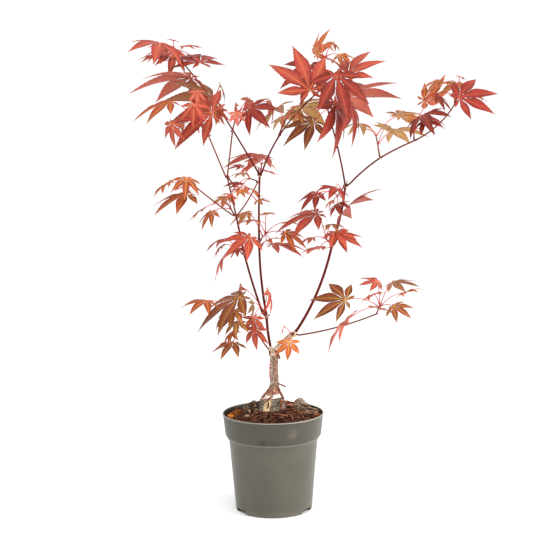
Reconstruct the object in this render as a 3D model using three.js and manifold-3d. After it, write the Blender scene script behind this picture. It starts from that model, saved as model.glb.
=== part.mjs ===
// A potted Japanese maple, about 61 cm tall: a nursery pot of potting mix, a short grafted trunk,
// thin red stems and sprays of deep-cut leaves. Millimetres, +Z up. The origin is the middle of the
// pot's underside, and the plant's front faces -Y.
import * as THREE from "three";
import { mergeVertices } from "three/addons/utils/BufferGeometryUtils.js";
import Module from "manifold-3d";

const wasm = await Module();
wasm.setup();

// Clear gap between neighbouring pieces
const GAP = 0.3;

// Nursery pot: a 13 cm pot with a deep rim band over a tapered body
const POT = {
  height: 126,
  rimRadius: 65,
  lipHeight: 1.5,
  lipDepth: 0.8,
  bandFootRadius: 61.3,
  bandFootHeight: 95.5,
  bodyTopRadius: 56.5,
  bodyTopHeight: 88,
  footRadius: 49,
  footRound: 1.5,
  wall: 1.5,
  floor: 3,
  segments: 40,
};
const NOTCH = { turns: [-150, -30, 90], width: 20, height: 5.4, depth: 12 };
const CHANNEL = { width: 8, height: 1.4, inner: 14 };

// Potting mix: level at the wall, heaped round the trunk
const SOIL = { level: 120.5, crown: 127.7, crownRadius: 18, heapRadius: 46, segments: 28, bump: 0.8 };

// Pieces of bark on the mix: place, turn and size
const BARK = [
  { name: "bark_lump", place: [34, 29], turn: 20, tilt: 12, size: [12, 11, 14] },
  { name: "bark_long_chip", place: [51, 14], turn: 112, tilt: -6, size: [36, 6, 4] },
  { name: "bark_red_chip", place: [19, 32], turn: 60, tilt: 10, size: [11, 8, 9] },
  { name: "bark_grey_chip", place: [-24, 13], turn: 100, tilt: 8, size: [10, 8, 9] },
  { name: "bark_back_chip", place: [-32, 25], turn: -25, tilt: 8, size: [12, 9, 7] },
  { name: "bark_pale_chip", place: [-33, -18], turn: 35, tilt: 5, size: [10, 5, 3] },
];

// Trunk sections from the cut at soil level to the fork: height, middle in x, radius in x, radius in y
const TRUNK = [
  [128, -2, 15, 13],
  [137, -2, 15.2, 12.6],
  [147, -1.2, 13.4, 11],
  [153, 0, 10.4, 9],
  [160, 1.8, 7.2, 6.8],
  [168, 2.2, 5.6, 5.4],
  [186, 2, 5.1, 5.1],
  [197, 2.2, 5.5, 5.4],
  [204.2, 2.5, 6.6, 6.2],
];
const TRUNK_SIDES = 12;
const FLARE = { ribs: 5, depth: 0.1, top: 160 };

// Limbs: name, what it grows from, tip, bow of its middle, radius at foot and tip.
// The first limb from a tip runs straight on, and the others leave beside it.
const LIMBS = [
  ["limb_grafted", "trunk", [28, -4, 229], [-1, 0, 1], [3.7, 3.2]],
  ["stem_middle_low", "trunk", [-7, -4, 251], [-1, 0, 0], [1.9, 1.8]],
  ["twig_low_left", "trunk", [-26, -32, 252], [-1, -3, -2], [1, 0.8]],
  ["stem_right_low", "limb_grafted", [76, -14, 342], [4.5, -2, -4], [2, 1.7]],
  ["twig_low_right", "limb_grafted", [128, -52, 260], [0, 0, -3.5], [1, 0.8]],
  ["stem_right_high", "stem_right_low", [93, -10, 415], [2.3, 0, 0], [1.6, 1.4]],
  ["branch_right_up", "stem_right_high", [75, 22, 500], [1.5, 0, 0], [1.2, 1]],
  ["branch_right_out", "stem_right_high", [136, -22, 451], [-1, 0, 1.5], [1.2, 1.1]],
  ["branch_right_top", "branch_right_up", [63, 38, 560], [0, 0, 0], [1, 0.8]],
  ["branch_right_far", "branch_right_out", [177, -33, 472], [0, 0, 1], [1, 0.9]],
  ["branch_right_end", "branch_right_far", [225, -45, 517], [3.5, 0, -3.5], [0.9, 0.8]],
  ["stem_middle", "stem_middle_low", [-15.5, 11, 345], [-2, 0, 0], [1.7, 1.5]],
  ["stem_left_low", "stem_middle_low", [-34, -20, 333], [-1, 0, 0], [1.6, 1.4]],
  ["stem_middle_high", "stem_middle", [-14, 25, 427], [-0.6, 0, 0], [1.5, 1.3]],
  ["branch_left_rise", "stem_middle_high", [-61, 29, 507], [0, 0, 1], [1.2, 1]],
  ["branch_centre_low", "stem_middle_high", [11, 4, 478], [-1.5, 1.5, 1], [1.2, 1.1]],
  ["branch_centre", "branch_centre_low", [49, -28, 523], [-1.5, 1.5, 1], [1.1, 0.9]],
  ["branch_left_top", "branch_left_rise", [-108, 44, 568], [0, 0, 1], [1, 0.8]],
  ["stem_left_high", "stem_left_low", [-43, -30, 381], [0, 0, 0], [1.4, 1.2]],
  ["branch_left", "stem_left_high", [-53, -36, 429], [0, 0, 0], [1.1, 1]],
  ["twig_left_low", "stem_left_high", [-94, -72, 424], [0, 0, -1], [0.9, 0.8]],
  ["twig_left_inner", "stem_left_high", [-17, 55, 417], [0, -4, -3], [0.9, 0.8]],
  ["twig_left_up", "branch_left", [-47, -5, 484], [0, 0, 0], [0.9, 0.8]],
  ["twig_left_out", "branch_left", [-74, -55, 480], [0, 0, 0], [0.9, 0.8]],
];
// Where the three limbs of the trunk stand on its top, in x and y
const TRUNK_FEET = {
  limb_grafted: [5.2, 0],
  stem_middle_low: [-1.2, 0.8],
  twig_low_left: [-1.9, -4.2],
};
const LIMB_SIDES = 6;
const LIMB_STEP = 26;

// Sprays: name, limb at whose tip it grows, turn and rise of its stem in degrees, stem length,
// pairs of leaves, leaf stalk, leaf size, nod of the leaves in degrees, tint and seed
const SPRAYS = [
  ["spray_top_left", "branch_left_top", 180, 55, 23, 2, 19, 41, 10, "red", 257],
  ["spray_upper_left", "branch_left_rise", -145, 45, 32, 2, 27, 52, 45, "bronze", 965],
  ["spray_left_up", "twig_left_up", -60, 60, 27, 2, 36, 35, 70, "red", 766],
  ["spray_left_out", "twig_left_out", 160, 50, 22, 2, 33, 30, 80, "red", 991],
  ["spray_centre", "branch_centre", -5, 40, 17, 3, 36, 61, 55, "dark", 144],
  ["spray_centre_low", "branch_centre_low", 0, 65, 23, 3, 32, 51, 25, "red", 631],
  ["spray_right_top", "branch_right_top", -15, 60, 17, 2, 24, 28, 20, "red", 674],
  ["spray_right_up", "branch_right_up", -65, 50, 17, 3, 36, 57, -5, "red", 513],
  ["spray_right_fork", "stem_right_high", -125, -35, 19, 2, 35, 37, 20, "dark", 434],
  ["spray_right_out", "branch_right_out", 175, 80, 26, 2, 33, 53, -10, "pink", 825],
  ["spray_right_far", "branch_right_far", -100, 75, 18, 2, 36, 42, 25, "dark", 968],
  ["spray_right_end", "branch_right_end", -80, 55, 11, 2, 23, 29, 20, "orange", 907],
  ["spray_right_node", "stem_right_low", -115, 30, 19, 2, 22, 42, 0, "red", 128],
  ["spray_grafted", "limb_grafted", -115, 5, 9, 1, 10, 28, 80, "young", 215],
  ["spray_low_right", "twig_low_right", -55, 55, 12, 1, 32, 32, -5, "red", 308],
  ["spray_middle_fork", "stem_middle_high", 80, 50, 19, 2, 13, 28, 5, "pink", 606],
  ["spray_middle_node", "stem_middle", -55, 40, 16, 2, 29, 34, -5, "red", 747],
  ["spray_middle_low", "stem_middle_low", -110, 45, 18, 2, 36, 28, 75, "red", 896],
  ["spray_left_node", "stem_left_low", -140, 40, 15, 2, 14, 35, 30, "red", 137],
  ["spray_left_fork", "stem_left_high", 170, 60, 17, 2, 25, 29, 30, "orange", 965],
  ["spray_left_branch", "branch_left", -35, -50, 14, 1, 32, 29, 0, "orange", 839],
  ["spray_left_low", "twig_left_low", -135, -25, 10, 2, 34, 28, 25, "orange", 449],
  ["spray_inner", "twig_left_inner", 170, 20, 11, 1, 32, 28, -10, "dark", 242],
  ["spray_low_left", "twig_low_left", -140, 10, 17, 3, 17, 62, 30, "bronze", 62],
];

// Leaves that stand out from the front: spray, hub, size, the clock angle of the middle lobe seen
// from the front, the lean of the blade back from upright, and its roll about the middle lobe
const BOLD_LEAVES = [
  ["spray_top_left", [-137, 28, 595], 59, -89, 83, -16],
  ["spray_top_left", [-88, 32, 570], 59, 107, 60, 7],
  ["spray_top_left", [-125, 93, 586], 35, -94, 41, -18],
  ["spray_upper_left", [-70, 10, 524], 66, 148, 66, 65],
  ["spray_upper_left", [-98, 2, 551], 75, 170, 59, 50],
  ["spray_left_out", [-120, -46, 522], 50, -170, 39, 37],
  ["spray_left_out", [-69, -52, 509], 70, 158, 89, -51],
  ["spray_left_up", [-24, -37, 514], 41, -66, 68, 35],
  ["spray_centre", [48, -57, 535], 63, 102, 13, 18],
  ["spray_right_top", [60, 53, 579], 36, 79, -15, -65],
  ["spray_right_top", [98, 13, 553], 54, 65, 31, -30],
  ["spray_right_up", [97, 5, 525], 70, 34, 63, -56],
  ["spray_right_up", [55, 4, 495], 47, -150, 48, 10],
  ["spray_right_far", [185, -57, 504], 47, -91, 85, 28],
  ["spray_right_end", [190, -13, 521], 45, 11, 9, 62],
  ["spray_right_end", [225, -80, 524], 50, 19, 18, -23],
  ["spray_right_fork", [93, -41, 391], 54, 65, 67, -52],
  ["spray_right_node", [58, -20, 382], 55, -173, 34, 39],
  ["spray_middle_node", [2, 3, 342], 49, 8, 64, -22],
  ["spray_left_node", [-26, -48, 357], 42, -134, 71, -10],
  ["spray_left_low", [-100, -86, 413], 47, -146, 76, 5],
  ["spray_middle_fork", [-8, 48, 451], 56, 157, 83, 23],
  ["spray_low_left", [-39, -59, 284], 65, -158, 21, 53],
  ["spray_low_left", [-80, -65, 281], 35, -121, 89, -8],
  ["spray_low_left", [-48, -51, 226], 33, -118, 80, 1],
  ["spray_low_right", [90, -78, 282], 49, 159, 61, -16],
  ["spray_low_right", [92, -61, 254], 53, -132, 68, 62],
  ["spray_low_right", [162, -68, 289], 28, 58, 75, -30],
];

// How a spray grows: stem and stalk radii, spread of a pair, and chance in each leaf
const TWIG = { radius: 1, tipRadius: 0.8, sides: 3, steps: 3, spread: 55, spreadVary: 16 };
const TURN_OF_PAIR = 90;
const SPIN_VARY = 60;
const RETRY_VARY = 40;
const LAST_PAIR = 0.97;
const BOLD_ROOT = 0.9;
const STEM_ARCH = 0.04;
const STALK = { radius: 0.7, tipRadius: 0.6, arch: 0.12, vary: 0.3 };
const LEAF = { vary: 0.2, nodVary: 22, rollVary: 28, droop: 0.36, droopVary: 0.14, tries: 16, shrink: 0.035 };

// The space a leaf needs: clear of limbs, clear of other sprays, and inside the crown
const CLEAR_OF_LIMB = 5;
const CLEAR_OF_SPRAY = 8;
const CLEAR_OF_TWIN = 5;
const MARK_STEP = 4;
const STALK_START = 8;
const RIB_MARKS = [0.2, 0.35, 0.5, 0.65, 0.8, 0.9, 1];
const CROWN = { low: [-178, -150, 183], high: [293, 150, 613] };

// Outline of a leaf: the turn and length of each lobe, then shares of the lobe's own length
const LOBES = [[-130, 0.28], [-84, 0.62], [-41, 0.9], [0, 1], [41, 0.9], [84, 0.62], [130, 0.28]];
const BASAL = 0.4;
const WIDEST = { at: 0.47, half: 0.145 };
const SINUS = { between: 0.15, behind: 0.05 };
const THICK = { share: 0.016, least: 0.9, hub: 1.1 };

const COLOURS = {
  pot: 0x6d6a61,
  soil: 0x33201a,
  bark: 0x6b5647,
  trunk: 0x85786a,
  grafted: 0xa58a78,
  stem: 0x4a1512,
  red: 0xb5483a,
  dark: 0x8c2a20,
  bronze: 0x7a4a2c,
  orange: 0xd06a38,
  pink: 0xcf5f52,
  young: 0xe08a3c,
};

// Small vectors

const radians = THREE.MathUtils.degToRad;
const plus = (a, b, k = 1) => [a[0] + b[0] * k, a[1] + b[1] * k, a[2] + b[2] * k];
const times = (a, k) => [a[0] * k, a[1] * k, a[2] * k];
const dot = (a, b) => a[0] * b[0] + a[1] * b[1] + a[2] * b[2];
const cross = (a, b) => [
  a[1] * b[2] - a[2] * b[1],
  a[2] * b[0] - a[0] * b[2],
  a[0] * b[1] - a[1] * b[0],
];
const size = (a) => Math.sqrt(dot(a, a));
const unit = (a) => times(a, 1 / size(a));
const across = (a, axis) => unit(plus(a, axis, -dot(a, axis)));
const heading = (turn, rise) => [
  Math.cos(radians(turn)) * Math.cos(radians(rise)),
  Math.sin(radians(turn)) * Math.cos(radians(rise)),
  Math.sin(radians(rise)),
];

// A seeded draw between 0 and 1
function randomFrom(seed) {
  let state = seed * 7919 + 104729;
  return () => {
    state = (state * 16807) % 2147483647;
    return state / 2147483647;
  };
}

// Routes: a bent line from foot to tip, whose middle is shifted by a bow

const route = (foot, tip, bow) => ({ foot, tip, bow });
const span = (line) => size(plus(line.tip, line.foot, -1));
const along = (line, t) => plus(plus(times(line.foot, 1 - t), line.tip, t), line.bow, 4 * t * (1 - t));
const slope = (line, t) => unit(plus(plus(line.tip, line.foot, -1), line.bow, 4 * (1 - 2 * t)));

// Two directions across a line that passes nearly along an axis of the frame or none
function frameAcross(axis) {
  const upright = Math.abs(axis[2]) < 0.8 ? [0, 0, 1] : [0, 1, 0];
  const right = unit(cross(axis, upright));
  return [right, cross(right, axis)];
}

// Where a limb or spray meets its parent: straight on from the tip, or beside the limb that runs on

function footStraight(parent, toward, radius) {
  const axis = slope(parent.line, 1);
  const tilt = size(cross(axis, toward));
  return plus(parent.line.tip, axis, GAP + radius * tilt);
}

function footBeside(parent, leaderRadius, toward, radius) {
  const axis = slope(parent.line, 1);
  const reach = Math.max(leaderRadius, parent.radii[1]) + GAP + radius * Math.abs(dot(axis, toward));
  return plus(parent.line.tip, across(toward, axis), reach);
}

function footOnTrunk(name, tip, radius) {
  const top = TRUNK[TRUNK.length - 1][0];
  const place = [...TRUNK_FEET[name], top];
  const tilt = size(cross([0, 0, 1], unit(plus(tip, place, -1))));
  return plus(place, [0, 0, 1], GAP + radius * tilt);
}

function growLimbs() {
  const limbs = {};
  const leaders = {};
  for (const [name, from, tip, bow, radii] of LIMBS) {
    const parent = limbs[from];
    let foot;
    if (parent) {
      const toward = unit(plus(tip, parent.line.tip, -1));
      foot = leaders[from]
        ? footBeside(parent, leaders[from].radii[0], toward, radii[0])
        : footStraight(parent, toward, radii[0]);
    } else {
      foot = footOnTrunk(name, tip, radii[0]);
    }
    limbs[name] = { name, line: route(foot, tip, bow), radii };
    leaders[from] = leaders[from] ?? limbs[name];
  }
  return { limbs, leaders };
}

// Marks: points along a limb, stalk or leaf that are kept clear of each other

function marksAlong(line, start) {
  const steps = Math.ceil(span(line) / MARK_STEP);
  const first = start / span(line);
  const marks = [];
  for (let i = 0; i <= steps; i += 1) {
    if (i / steps >= first) marks.push(along(line, i / steps));
  }
  return marks;
}

function lobeMarks(leaf, turn, share) {
  const reach = share * leaf.size;
  const ribs = RIB_MARKS.map((part) => lobePoint(leaf, turn, part * reach, 0));
  const edges = [-1, 1].map((side) => lobePoint(leaf, turn, WIDEST.at * reach, side * WIDEST.half * reach));
  return [...ribs, ...edges];
}

function leafMarks(leaf) {
  return LOBES.flatMap(([turn, share]) => lobeMarks(leaf, turn, share));
}

const allMarks = (leaf) => [...leafMarks(leaf), ...marksAlong(leaf.stalk, STALK_START)];

function isNear(marks, others, reach) {
  return marks.some((mark) => others.some((other) => size(plus(mark, other, -1)) < reach));
}

function isInCrown(marks) {
  return marks.every((mark) => mark.every((value, i) => value > CROWN.low[i] && value < CROWN.high[i]));
}

// Leaves

// A point on a lobe: so far out along its rib, so far off to one side, with the lobe's droop
function lobePoint(leaf, turn, out, off) {
  const rib = plus(times(leaf.nose, Math.cos(radians(turn))), leaf.side, Math.sin(radians(turn)));
  const wing = cross(leaf.normal, rib);
  const drop = (leaf.droop * out * out) / leaf.size;
  return plus(plus(plus(leaf.hub, rib, out), wing, off), leaf.normal, -drop);
}

function placeLeaf(root, toward, plan, share, random) {
  const chance = () => 2 * random() - 1;
  const reach = plan.stalk * (1 + STALK.vary * chance());
  const hub = plus(root, toward, reach);
  const nod = radians(plan.nod + LEAF.nodVary * chance());
  const roll = radians(LEAF.rollVary * chance());
  const level = unit([toward[0], toward[1], 0]);
  const nose = plus(times(level, Math.cos(nod)), [0, 0, 1], -Math.sin(nod));
  const flat = unit(cross([0, 0, 1], nose));
  const face = cross(nose, flat);
  return {
    stalk: route(root, hub, [0, 0, STALK.arch * reach]),
    hub,
    nose,
    side: plus(times(flat, Math.cos(roll)), face, Math.sin(roll)),
    normal: plus(times(face, Math.cos(roll)), flat, -Math.sin(roll)),
    size: plan.leaf * share * (1 + LEAF.vary * chance()),
    droop: LEAF.droop + LEAF.droopVary * chance(),
  };
}

function placeBoldLeaf(stem, hub, extent, clock, lean, roll) {
  const [turn, tip, twist] = [radians(clock), radians(lean), radians(roll)];
  const root = along(stem, BOLD_ROOT);
  const face = [0, -Math.cos(tip), Math.sin(tip)];
  const nose = plus([Math.cos(turn), 0, 0], [0, Math.sin(tip), Math.cos(tip)], Math.sin(turn));
  const flat = cross(face, nose);
  const leaf = {
    stalk: route(root, hub, [0, 0, STALK.arch * size(plus(hub, root, -1))]),
    hub,
    nose,
    side: plus(times(flat, Math.cos(twist)), face, Math.sin(twist)),
    normal: plus(times(face, Math.cos(twist)), flat, -Math.sin(twist)),
    size: extent,
    droop: LEAF.droop,
  };
  return { ...leaf, marks: allMarks(leaf) };
}

// One leaf of a pair, turned afresh and a little smaller until it has room, or left out
function tryLeaf(stem, t, side, spin, plan, random, taken) {
  const axis = slope(stem, t);
  const [right, up] = frameAcross(axis);
  for (let attempt = 0; attempt < LEAF.tries; attempt += 1) {
    const turn = radians(spin + RETRY_VARY * (random() - 0.5) * (1 + attempt / 3));
    const spread = radians(TWIG.spread + TWIG.spreadVary * (2 * random() - 1));
    const out = times(plus(times(right, Math.cos(turn)), up, Math.sin(turn)), side);
    const toward = unit(plus(times(axis, Math.cos(spread)), out, Math.sin(spread)));
    const share = 1 - LEAF.shrink * attempt;
    const leaf = placeLeaf(along(stem, t), toward, plan, share, random);
    const marks = allMarks(leaf);
    const crowded = taken.some(([others, reach]) => isNear(marks, others, reach));
    if (!crowded && isInCrown(marks)) return { ...leaf, marks };
  }
  return null;
}

// A spray's stem, with the leaves that stand out on it
function startSpray(row, grown) {
  const [name, from, turn, rise, length] = row;
  const parent = grown.limbs[from];
  const leader = grown.leaders[from];
  const toward = heading(turn, rise);
  const foot = leader
    ? footBeside(parent, leader.radii[0], toward, TWIG.radius)
    : footStraight(parent, toward, TWIG.radius);
  const stem = route(foot, plus(foot, toward, length), [0, 0, STEM_ARCH * length]);
  const leaves = BOLD_LEAVES.filter(([of]) => of === name).map(([, ...bold]) => placeBoldLeaf(stem, ...bold));
  return { name, row, stem, leaves };
}

const marksOf = ({ leaves }) => leaves.flatMap((leaf) => leaf.marks);
const marksOfWhole = (spray) => [...marksAlong(spray.stem, 0), ...marksOf(spray)];

// The pairs of leaves along a spray's stem
function growPairs(spray, limbMarks, otherMarks) {
  const [, , , , , pairs, stalk, leaf, nod, , seed] = spray.row;
  const plan = { stalk, leaf, nod };
  const random = randomFrom(seed);
  for (let pair = 1; pair <= pairs; pair += 1) {
    const spin = TURN_OF_PAIR * (pair % 2) + SPIN_VARY * random();
    const place = pair === pairs ? LAST_PAIR : pair / pairs;
    for (const side of [-1, 1]) {
      const taken = [[limbMarks, CLEAR_OF_LIMB], [otherMarks, CLEAR_OF_SPRAY], [marksOf(spray), CLEAR_OF_TWIN]];
      const grownLeaf = tryLeaf(spray.stem, place, side, spin, plan, random, taken);
      if (grownLeaf) spray.leaves.push(grownLeaf);
    }
  }
}

function growSprays(grown) {
  const limbMarks = Object.values(grown.limbs).flatMap((limb) => marksAlong(limb.line, 0));
  const sprays = SPRAYS.map((row) => startSpray(row, grown));
  for (const spray of sprays) {
    const otherMarks = sprays.filter((other) => other !== spray).flatMap(marksOfWhole);
    growPairs(spray, limbMarks, otherMarks);
  }
  return sprays;
}

// Meshes

// A closed shape from its points and its triangles
function shapeOf(points, triangles) {
  const geometry = new THREE.BufferGeometry();
  geometry.setAttribute("position", new THREE.Float32BufferAttribute(points.flat(), 3));
  geometry.setIndex(triangles.flat());
  return geometry;
}

// Rings of points joined into a tube with flat ends
function loft(rings) {
  const sides = rings[0].length;
  const triangles = [];
  for (let ring = 0; ring < rings.length - 1; ring += 1) {
    for (let i = 0; i < sides; i += 1) {
      const a = ring * sides + i;
      const b = ring * sides + ((i + 1) % sides);
      triangles.push([a, b, b + sides], [a, b + sides, a + sides]);
    }
  }
  const last = (rings.length - 1) * sides;
  for (let i = 1; i < sides - 1; i += 1) {
    triangles.push([0, i + 1, i], [last, last + i, last + i + 1]);
  }
  return shapeOf(rings.flat(), triangles);
}

function taperedTube(line, radii, sides, steps) {
  const rings = [];
  for (let step = 0; step <= steps; step += 1) {
    const t = step / steps;
    const [right, up] = frameAcross(slope(line, t));
    const radius = radii[0] + (radii[1] - radii[0]) * t;
    const ring = [];
    for (let i = 0; i < sides; i += 1) {
      const angle = (2 * Math.PI * i) / sides;
      const out = plus(times(right, Math.cos(angle)), up, -Math.sin(angle));
      ring.push(plus(along(line, t), out, radius));
    }
    rings.push(ring);
  }
  return loft(rings);
}

function leafShape(leaf) {
  const points = [];
  const triangles = [];
  const add = (point) => points.push(point) - 1;
  const face = (a, b, c) => triangles.push([a, b, c]);
  const thick = Math.max(THICK.least, THICK.share * leaf.size) / 2;
  const top = add(plus(leaf.hub, leaf.normal, THICK.hub));
  const bottom = add(plus(leaf.hub, leaf.normal, -THICK.hub));
  const behind = add(lobePoint(leaf, 180, SINUS.behind * leaf.size, 0));
  let before = behind;
  LOBES.forEach(([turn, share], i) => {
    const reach = share * leaf.size;
    const next = LOBES[i + 1];
    const after = next
      ? add(lobePoint(leaf, (turn + next[0]) / 2, SINUS.between * leaf.size * Math.min(share, next[1], 0.8), 0))
      : behind;
    const tip = add(lobePoint(leaf, turn, reach, 0));
    if (share < BASAL) {
      face(top, before, tip);
      face(top, tip, after);
      face(bottom, tip, before);
      face(bottom, after, tip);
    } else {
      const middle = lobePoint(leaf, turn, WIDEST.at * reach, 0);
      const above = add(plus(middle, leaf.normal, thick));
      const below = add(plus(middle, leaf.normal, -thick));
      const right = add(lobePoint(leaf, turn, WIDEST.at * reach, -WIDEST.half * reach));
      const left = add(lobePoint(leaf, turn, WIDEST.at * reach, WIDEST.half * reach));
      const rim = [before, right, tip, left, after];
      face(top, before, above);
      face(after, top, above);
      face(bottom, below, before);
      face(after, below, bottom);
      for (let k = 0; k < rim.length - 1; k += 1) {
        face(rim[k], rim[k + 1], above);
        face(rim[k + 1], rim[k], below);
      }
    }
    before = after;
  });
  return shapeOf(points, triangles);
}

// Joining and cutting

function bare(geometry) {
  geometry.deleteAttribute("normal");
  geometry.deleteAttribute("uv");
  const merged = mergeVertices(geometry, 1e-4);
  const index = merged.index.array;
  const kept = [];
  for (let i = 0; i < index.length; i += 3) {
    const [a, b, c] = index.slice(i, i + 3);
    if (a !== b && b !== c && c !== a) kept.push(a, b, c);
  }
  merged.setIndex(kept);
  return merged;
}

function solidOf(geometry) {
  const merged = bare(geometry);
  return new wasm.Manifold(new wasm.Mesh({
    numProp: 3,
    vertProperties: new Float32Array(merged.attributes.position.array),
    triVerts: new Uint32Array(merged.index.array),
  }));
}

function geometryOf(solid) {
  const mesh = solid.getMesh();
  const geometry = new THREE.BufferGeometry();
  geometry.setAttribute("position", new THREE.BufferAttribute(mesh.vertProperties, 3));
  geometry.setIndex(new THREE.BufferAttribute(mesh.triVerts, 1));
  return geometry;
}

const joined = (geometries) => geometryOf(wasm.Manifold.union(geometries.map(solidOf)));

// Pot and potting mix

function turned(profile, segments) {
  const geometry = new THREE.LatheGeometry(profile.map(([r, z]) => new THREE.Vector2(r, z)), segments);
  geometry.rotateX(Math.PI / 2);
  return bare(geometry);
}

function block(width, low, high, base, top, turn) {
  const geometry = new THREE.BoxGeometry(high - low, width, top - base);
  geometry.translate((low + high) / 2, 0, (base + top) / 2);
  geometry.rotateZ(radians(turn));
  return solidOf(geometry);
}

function potGeometry() {
  const inside = POT.wall / Math.cos(Math.atan2(POT.rimRadius - POT.bandFootRadius, POT.height));
  const profile = [
    [0, 0],
    [POT.footRadius - POT.footRound, 0],
    [POT.footRadius, POT.footRound],
    [POT.bodyTopRadius, POT.bodyTopHeight],
    [(POT.bodyTopRadius + POT.bandFootRadius) / 2, (POT.bodyTopHeight + POT.bandFootHeight) / 2 - 0.6],
    [POT.bandFootRadius, POT.bandFootHeight],
    [POT.rimRadius - POT.lipDepth, POT.height - POT.lipHeight - POT.lipDepth],
    [POT.rimRadius, POT.height - POT.lipHeight],
    [POT.rimRadius, POT.height],
    [POT.rimRadius - POT.lipDepth - inside, POT.height],
    [POT.bandFootRadius - inside, POT.bandFootHeight + 1],
    [POT.bodyTopRadius - inside, POT.bodyTopHeight + 1],
    [POT.footRadius - inside, POT.floor],
    [0, POT.floor],
  ];
  let pot = solidOf(turned(profile, POT.segments));
  for (const turn of NOTCH.turns) {
    const outer = POT.footRadius + 4;
    const notch = block(NOTCH.width, POT.footRadius - NOTCH.depth, outer, -1, NOTCH.height, turn);
    const channel = block(CHANNEL.width, CHANNEL.inner, outer - 8, -1, CHANNEL.height, turn);
    pot = pot.subtract(notch).subtract(channel);
  }
  return geometryOf(pot);
}

// Height of the mix at a distance from the middle, with small bumps outside the flat crown
function soilHeight(x, y) {
  const r = Math.hypot(x, y);
  const fall = THREE.MathUtils.smoothstep(r, SOIL.crownRadius, SOIL.heapRadius);
  const wave = Math.sin(x * 0.31 + 1) * Math.cos(y * 0.27) + 0.6 * Math.sin(y * 0.5 - x * 0.13);
  return SOIL.crown + (SOIL.level - SOIL.crown) * fall + SOIL.bump * fall * wave;
}

function soilGeometry() {
  const inner = (r) => r - POT.wall - 2 * GAP;
  const rim = inner(POT.rimRadius - POT.lipDepth) - 0.5;
  const profile = [
    [0, POT.floor + GAP],
    [inner(POT.footRadius), POT.floor + GAP],
    [inner(POT.bodyTopRadius), POT.bodyTopHeight + 1],
    [inner(POT.bandFootRadius), POT.bandFootHeight + 1],
    [rim, SOIL.level],
    [50, SOIL.level],
    [41, SOIL.level],
    [33, SOIL.level],
    [25, SOIL.level],
    [SOIL.crownRadius, SOIL.level],
    [0, SOIL.level],
  ];
  const geometry = turned(profile, SOIL.segments);
  const position = geometry.attributes.position;
  for (let i = 0; i < position.count; i += 1) {
    if (position.getZ(i) > SOIL.level - 0.1) {
      position.setZ(i, soilHeight(position.getX(i), position.getY(i)));
    }
  }
  return geometry;
}

// A chip of bark, lowered until it lies just clear of the mix
function barkGeometry({ place, turn, tilt, size: extent }, soil) {
  const geometry = bare(new THREE.DodecahedronGeometry(0.6));
  geometry.scale(...extent);
  geometry.rotateY(radians(tilt));
  geometry.rotateZ(radians(turn));
  geometry.translate(place[0], place[1], POT.height + 2 * extent[0]);
  const down = new THREE.Raycaster();
  const position = geometry.attributes.position;
  let drop = Infinity;
  for (let i = 0; i < position.count; i += 1) {
    const point = new THREE.Vector3().fromBufferAttribute(position, i);
    down.set(point, new THREE.Vector3(0, 0, -1));
    drop = Math.min(drop, down.intersectObject(soil)[0].distance);
  }
  geometry.translate(0, 0, GAP - drop);
  return geometry;
}

// Trunk

function trunkGeometry() {
  const rings = TRUNK.map(([z, middle, wide, deep]) => {
    const ribbed = FLARE.depth * Math.max(0, (FLARE.top - z) / (FLARE.top - TRUNK[0][0]));
    const ring = [];
    for (let i = 0; i < TRUNK_SIDES; i += 1) {
      const angle = (2 * Math.PI * i) / TRUNK_SIDES;
      const swell = 1 + ribbed * (Math.cos(FLARE.ribs * angle) - 1) * 0.5;
      ring.push([middle + wide * swell * Math.cos(angle), deep * swell * Math.sin(angle), z]);
    }
    return ring;
  });
  return loft(rings);
}

// The whole plant

function named(name, geometry, colour, roughness) {
  const material = new THREE.MeshStandardMaterial({ color: colour, roughness, metalness: 0 });
  const mesh = new THREE.Mesh(geometry, material);
  mesh.name = name;
  return mesh;
}

function limbMesh({ name, line, radii }) {
  const steps = Math.max(1, Math.round(span(line) / LIMB_STEP));
  const colour = name === "limb_grafted" ? COLOURS.grafted : COLOURS.stem;
  return named(name, taperedTube(line, radii, LIMB_SIDES, steps), colour, 0.6);
}

function sprayMesh({ name, row, stem, leaves }) {
  const tint = row[9];
  const pieces = [taperedTube(stem, [TWIG.radius, TWIG.tipRadius], TWIG.sides, TWIG.steps)];
  for (const leaf of leaves) {
    pieces.push(taperedTube(leaf.stalk, [STALK.radius, STALK.tipRadius], TWIG.sides, 2));
    pieces.push(leafShape(leaf));
  }
  return named(name, joined(pieces), COLOURS[tint], 0.55);
}

function buildMaple() {
  const maple = new THREE.Group();
  const soil = named("soil", soilGeometry(), COLOURS.soil, 0.95);
  soil.material.side = THREE.DoubleSide;
  maple.add(named("pot", potGeometry(), COLOURS.pot, 0.5), soil);
  for (const piece of BARK) {
    maple.add(named(piece.name, barkGeometry(piece, soil), COLOURS.bark, 0.9));
  }
  maple.add(named("trunk", trunkGeometry(), COLOURS.trunk, 0.85));
  const grown = growLimbs();
  for (const limb of Object.values(grown.limbs)) maple.add(limbMesh(limb));
  for (const spray of growSprays(grown)) maple.add(sprayMesh(spray));
  return maple;
}

export default buildMaple();
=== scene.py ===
# Looks of a potted Japanese maple about 61 cm tall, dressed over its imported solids: a nursery pot of
# potting mix, a short grafted trunk, dark red stems and sprays of deep-cut leaves.
# The growing rule works in millimetres, as the part's source does. Meshes are in metres.
import math
from types import SimpleNamespace

import bmesh
import bpy
import numpy as np
from mathutils import Matrix, Vector, noise


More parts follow.
